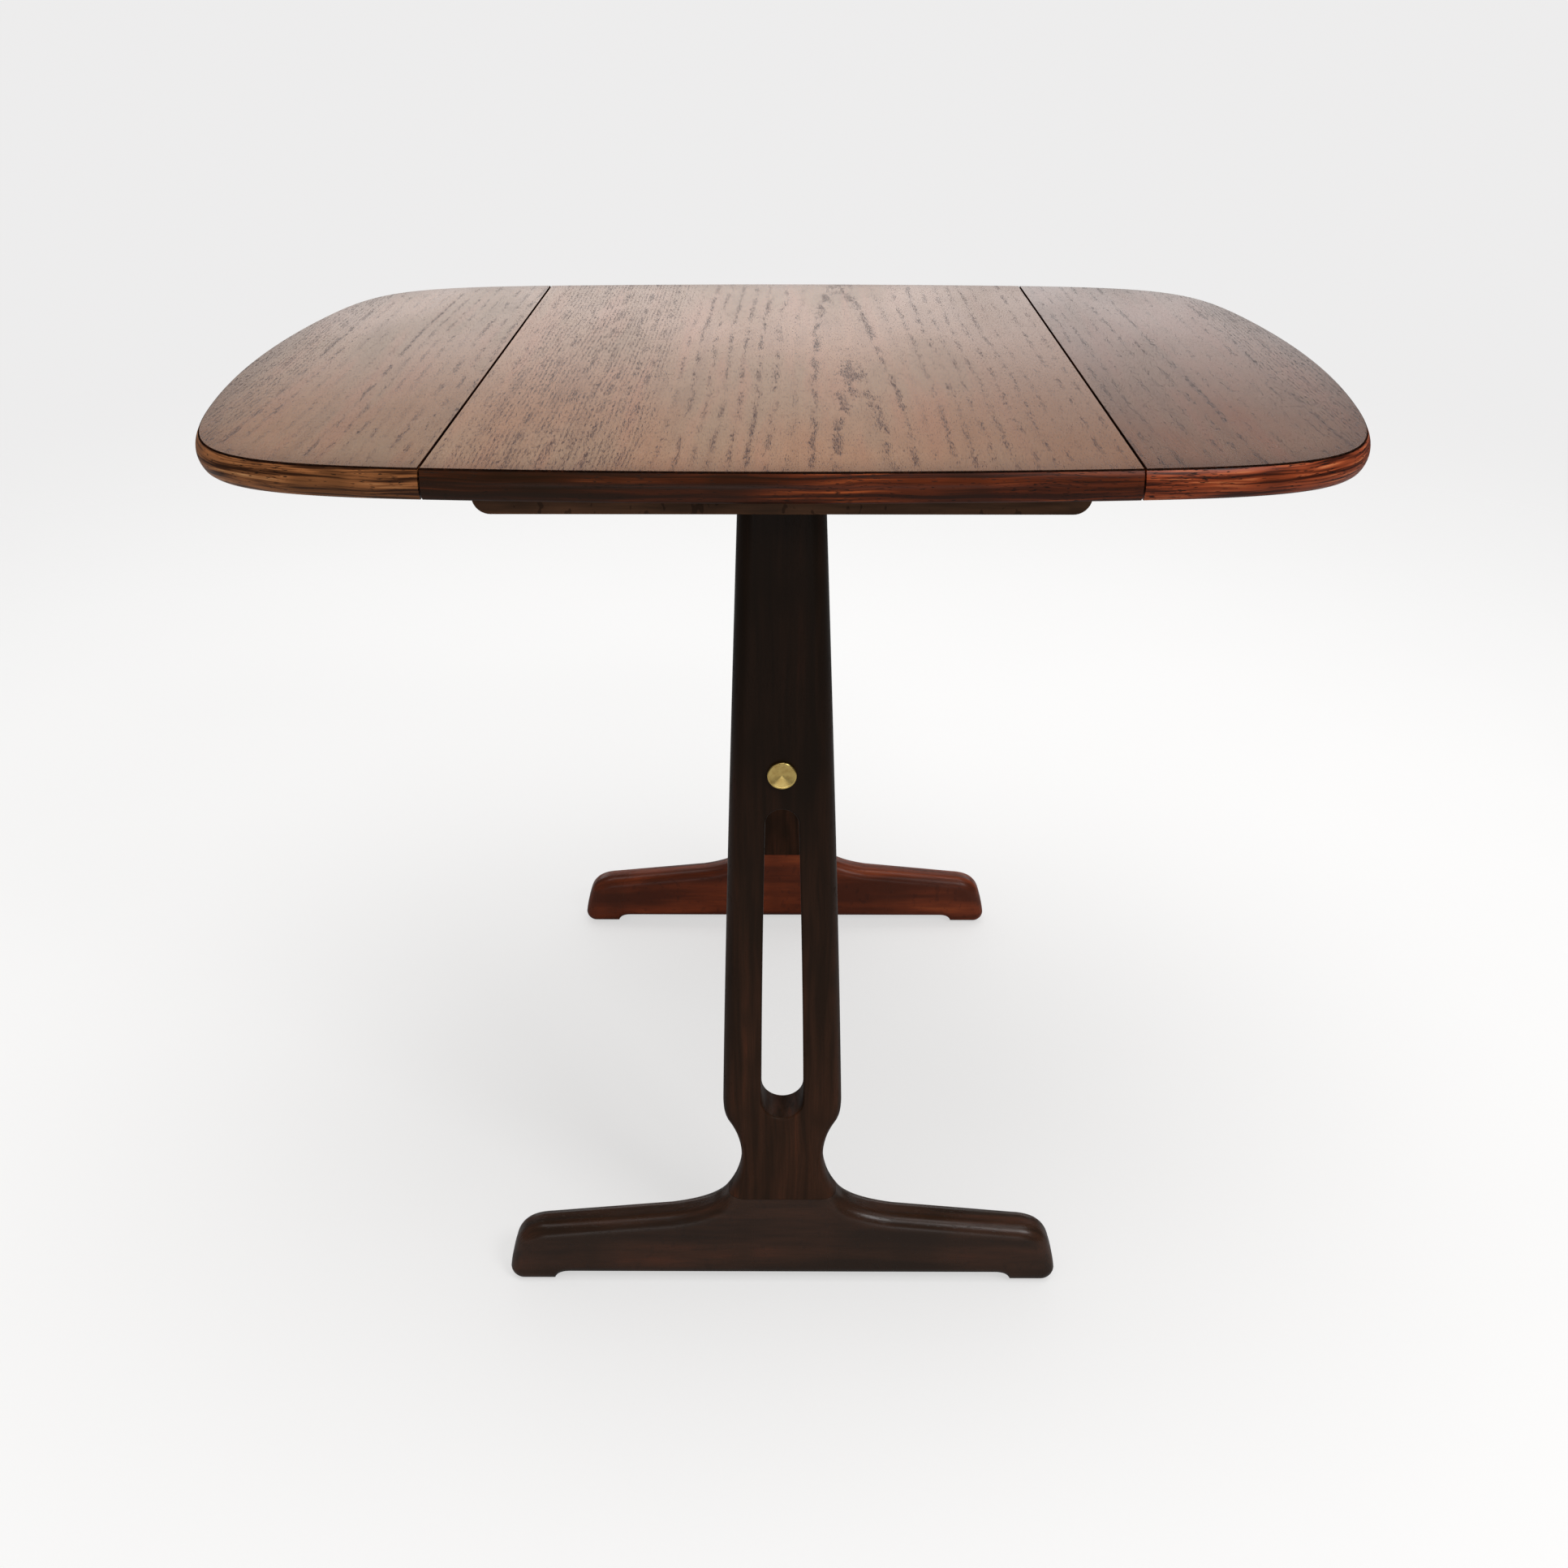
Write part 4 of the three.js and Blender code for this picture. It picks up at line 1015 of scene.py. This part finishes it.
def hinge_plate(name, y, side):
    """One flap with its knuckles. The board's flap is on side -1, the leaf's on side 1."""
    near, far = sorted((SEAM_X + side * 3, SEAM_X + side * 26))
    spans = [(y - MIDDLE_HALF, y + MIDDLE_HALF)]
    if side < 0:
        spans = [(y - HINGE_HALF, y - MIDDLE_HALF - 0.3), (y + MIDDLE_HALF + 0.3, y + HINGE_HALF)]
    outline = rounded_rectangle(near, far, y - HINGE_HALF, y + HINGE_HALF, 1.5)
    screws = flap_screws(y, side)
    holes = [(circle(screw, SCREW_HOLE, 20), 0) for screw in screws]
    flap = plate(name, outline, PLATE_Z, 0.2, holes, upright=False, steps=2)
    carve(flap, *[countersink(*screw, PLATE_Z[0]) for screw in screws])
    knuckles = []
    for y0, y1 in spans:
        web = sorted((SEAM_X + side * 0.2, SEAM_X + side * 3.4))
        knuckles.append(block(*web, y0, y1, PLATE_Z[0] + 0.1, 517.6))
        rim = KNUCKLE - 0.2
        tube = [(0, y0), (rim, y0), (KNUCKLE, y0 + 0.2), (KNUCKLE, y1 - 0.2), (rim, y1), (0, y1)]
        knuckles.append(lathe("knuckle", tube, (SEAM_X, 0, AXIS_Z), "Y", 32))
    join(flap, *knuckles)
    return carve(flap, rod_cutter(1.55, y - 21, y + 21, (SEAM_X, 0, AXIS_Z), "Y"))


def hinge_pin(name, y):
    half = HINGE_HALF + 0.5
    profile = [
        (0, y - half), (1.0, y - half), (1.3, y - half + 0.3), (1.3, y + half - 0.3), (1.0, y + half),
        (0, y + half),
    ]
    return lathe(name, profile, (SEAM_X, 0, AXIS_Z), "Y", 24)


# -------------------- folding stays, drawn on the right

REACH = 62
DIP = math.radians(9)
BOARD_PIVOT = (SEAM_X - REACH * math.cos(DIP), AXIS_Z - REACH * math.sin(DIP))
LEAF_PIVOT = (SEAM_X + REACH * math.cos(DIP), AXIS_Z - REACH * math.sin(DIP))
ELBOW = (SEAM_X, AXIS_Z - 2 * REACH * math.sin(DIP))
LAYERS = ((-1.25, 1.25), (1.75, 4.25))
HOLE = 2.75
FOOT_PLATE_Z = (516.3, 517.9)
ARM_END = 6
TAB_END = 7
BRACKET_HALF = 16
BRACKET_REACH = 16
BRACKET_SCREW_X = 11
BRACKET_SCREW_Y = 9.5


def arm_piece(name, start, end, span):
    angle = math.atan2(end[1] - start[1], end[0] - start[0])
    quarter = math.pi / 2
    outline = chain(
        arc(start, ARM_END, angle + quarter, angle + 3 * quarter, 20),
        arc(end, ARM_END, angle - quarter, angle + quarter, 20),
    )
    holes = [(circle(start, HOLE), 0.2), (circle(end, HOLE), 0.2)]
    return plate(name, outline, span, 0.35, holes, steps=2)


def bracket_screws(pivot, span, side):
    y = span[0] + BRACKET_SCREW_Y if side > 0 else span[1] - BRACKET_SCREW_Y
    return [(pivot[0] - BRACKET_SCREW_X, y), (pivot[0] + BRACKET_SCREW_X, y)]


def bracket_piece(name, pivot, span, side):
    """An angle with an upright tab at the pivot. Its foot reaches along Y to the given side."""
    x = pivot[0]
    y0 = span[0] if side > 0 else span[1] - BRACKET_REACH
    outline = rounded_rectangle(x - BRACKET_HALF, x + BRACKET_HALF, y0, y0 + BRACKET_REACH, 2.5)
    screws = bracket_screws(pivot, span, side)
    holes = [(circle(screw, SCREW_HOLE, 20), 0) for screw in screws]
    foot = plate(name, outline, FOOT_PLATE_Z, 0.25, holes, upright=False, steps=2)
    carve(foot, *[countersink(*screw, FOOT_PLATE_Z[0]) for screw in screws])
    tab_line = chain(
        arc(pivot, TAB_END, math.pi, 2 * math.pi, 24), [(x + TAB_END, 517.5), (x - TAB_END, 517.5)],
    )
    tab = plate("tab", tab_line, span, 0.3, [(circle(pivot, HOLE), 0.2)], steps=2)
    return join(foot, tab)


def rivet_piece(name, pivot):
    front, back = -1.5, 4.5
    dome = [(0, 1.6), (1.6, 1.5), (3.0, 1.15), (4.0, 0.65), (4.5, 0.2), (4.5, 0)]
    profile = [(radius, front - rise) for radius, rise in dome] + [(2.5, front), (2.5, back)]
    profile += [(radius, back + rise) for radius, rise in reversed(dome)]
    return lathe(name, profile, (pivot[0], 0, pivot[1]), "Y", 36)


def elbow_bolt_piece(name):
    front, back = -8.5, 4.5
    profile = [(0, front), (2.0, front), (2.5, front + 0.6), (2.5, back), (5.3, back), (5.5, back + 0.2)]
    profile += [(5.5, back + 1.6), (5.1, back + 2.2), (3.6, back + 2.75), (0, back + 3)]
    return lathe(name, profile, (ELBOW[0], 0, ELBOW[1]), "Y", 36)


def thumb_nut_piece(name):
    lobes = 12
    count = lobes * 8
    outline = []
    for i in range(count):
        angle = 2 * math.pi * i / count
        radius = 6.65 + 0.35 * math.cos(lobes * angle)
        outline.append((ELBOW[0] + radius * math.cos(angle), ELBOW[1] + radius * math.sin(angle)))
    return plate(name, outline, (-7.5, -1.5), 0.6, [(circle(ELBOW, HOLE), 0.3)], steps=2)


METALS = {"brass": brass, "steel": steel}
for side, turned in (("right", False), ("left", True)):
    leaf_body = f"{side}_leaf"
    for along in (-1, 1):
        end = "rear" if (along > 0) != turned else "front"
        stem = f"{side}_{end}_hinge"
        y = along * HINGE_Y
        for part, across, body in (("board", -1, "frame"), ("leaf", 1, leaf_body)):
            flap = hinge_plate(f"{stem}_{part}_flap", y, across)
            settle(flap, body, [f"{stem}_{part}_plate"], brass, turned)
            for number, screw in enumerate(flap_screws(y, across), 1):
                angle = 0.9 * number + 1.7 * across + along
                small_screw(f"{stem}_{part}_screw_{number}", *screw, PLATE_Z[0], angle, body, turned)
        settle(hinge_pin(f"{stem}_axle", y), "frame", [f"{stem}_pin"], steel, turned)

    stem = f"{side}_stay"
    for part, pivot, span, across, body in (
        ("board", BOARD_PIVOT, LAYERS[0], -1, "frame"), ("leaf", LEAF_PIVOT, LAYERS[1], 1, leaf_body),
    ):
        piece = bracket_piece(f"{stem}_{part}_angle", pivot, span, across)
        settle(piece, body, [f"{stem}_{part}_bracket"], brass, turned)
        for number, screw in enumerate(bracket_screws(pivot, span, across), 1):
            angle = 0.6 * number + across
            small_screw(f"{stem}_{part}_screw_{number}", *screw, FOOT_PLATE_Z[0], angle, body, turned)
    inner = f"{side}_inner_arm"
    outer = f"{side}_outer_arm"
    for piece, body, node, slot in (
        (arm_piece(f"{stem}_inner_link", BOARD_PIVOT, ELBOW, LAYERS[1]), inner, "inner_arm", "brass"),
        (arm_piece(f"{stem}_outer_link", ELBOW, LEAF_PIVOT, LAYERS[0]), outer, "outer_arm", "brass"),
        (rivet_piece(f"{stem}_board_pin", BOARD_PIVOT), "frame", "board_rivet", "steel"),
        (rivet_piece(f"{stem}_leaf_pin", LEAF_PIVOT), leaf_body, "leaf_rivet", "steel"),
        (elbow_bolt_piece(f"{stem}_elbow_screw"), inner, "elbow_bolt", "steel"),
        (thumb_nut_piece(f"{stem}_knurled_nut"), inner, "thumb_nut", "brass"),
    ):
        settle(piece, body, [f"{stem}_{node}"], METALS[slot], turned)

# -------------------- finishes of the CAD nodes that stay

for end in ("front", "rear"):
    for part, axis in (("foot_tenon", "Z"), ("bearer_tenon", "Z"), ("stretcher_dowel", "Y")):
        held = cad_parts[f"{end}_{part}"]
        held.data.materials.clear()
        held.data.materials.append(beech[axis])

# -------------------- floor, light


def floor_material():
    """Pale and plain, fading into the background far out. It isn't there when seen from below."""
    graph = Graph("pale_floor")
    position = graph.position()
    distance = graph.node("ShaderNodeVectorMath", {0: position}, operation="LENGTH").outputs["Value"]
    mottle = graph.noise(graph.scaled(position, (3, 3, 3)))
    seen = graph.node("ShaderNodeLightPath").outputs["Is Camera Ray"]
    graph.shade(
        Base_Color=graph.mix(mottle, (0.44, 0.437, 0.434, 1), (0.46, 0.457, 0.454, 1)),
        Roughness=0.6,
        Specular_IOR_Level=0.2,
        Emission_Color=(1, 0.995, 0.99, 1),
        Emission_Strength=graph.times(seen, 0.57),
    )
    clear = graph.node("ShaderNodeBsdfTransparent").outputs[0]
    behind = graph.node("ShaderNodeNewGeometry").outputs["Backfacing"]
    hidden = graph.math("MAXIMUM", behind, graph.span(distance, 0.8, 2.6))
    mixed = graph.node("ShaderNodeMixShader", {0: hidden, 1: graph.shader.outputs[0], 2: clear})
    graph.tree.links.new(mixed.outputs[0], graph.output.inputs[0])
    return graph.material


FLOOR_RADIUS = 6000
FLOOR_Z = -0.05
floor_line = circle((0, 0), FLOOR_RADIUS, 96)
floor = make("pale_floor", [(x, y, FLOOR_Z) for x, y in floor_line], [tuple(range(len(floor_line)))])
if floor.data.polygons[0].normal.z < 0:
    floor.data.flip_normals()
floor.data.materials.append(floor_material())


def studio_world(shown, light, mirrored):
    """A plain pale backdrop for the camera, a dimmer even light, and a dimmer room yet in reflections."""
    world = bpy.data.worlds.new("studio")
    world.use_nodes = True
    tree = world.node_tree
    path = tree.nodes.new("ShaderNodeLightPath")
    backdrop = tree.nodes["Background"]
    backdrop.inputs["Color"].default_value = light
    shader = backdrop.outputs[0]
    for ray, colour in (("Is Glossy Ray", mirrored), ("Is Camera Ray", shown)):
        other = tree.nodes.new("ShaderNodeBackground")
        other.inputs["Color"].default_value = colour
        mixed = tree.nodes.new("ShaderNodeMixShader")
        tree.links.new(path.outputs[ray], mixed.inputs[0])
        tree.links.new(shader, mixed.inputs[1])
        tree.links.new(other.outputs[0], mixed.inputs[2])
        shader = mixed.outputs[0]
    tree.links.new(shader, tree.nodes["World Output"].inputs[0])
    return world


bpy.context.scene.world = studio_world((0.85, 0.845, 0.845, 1), (0.38, 0.38, 0.38, 1), (0.09, 0.09, 0.09, 1))
bpy.context.scene.view_settings.view_transform = "Standard"


def soft_light(name, location, target, size, power):
    data = bpy.data.lights.new(name, "AREA")
    data.shape = "RECTANGLE"
    data.size, data.size_y = size
    data.energy = power
    light = bpy.data.objects.new(name, data)
    light.location = location
    light.rotation_euler = (Vector(target) - Vector(location)).to_track_quat("-Z", "Y").to_euler()
    light.visible_camera = False
    bpy.context.scene.collection.objects.link(light)


soft_light("ceiling", (0.1, 0.1, 2.5), (0, 0, 0.3), (2.2, 2.2), 33)
soft_light("key", (1.2, -1.5, 2.1), (0, 0, 0.3), (0.7, 0.7), 14)
soft_light("front", (0, -2.6, 0.3), (0, 0, 0.36), (1.6, 0.55), 3.6)
soft_light("wall", (0, 2.6, 0.82), (0, 0, 0.55), (4.0, 0.57), 8.6)

# -------------------- the end

bpy.context.view_layer.update()
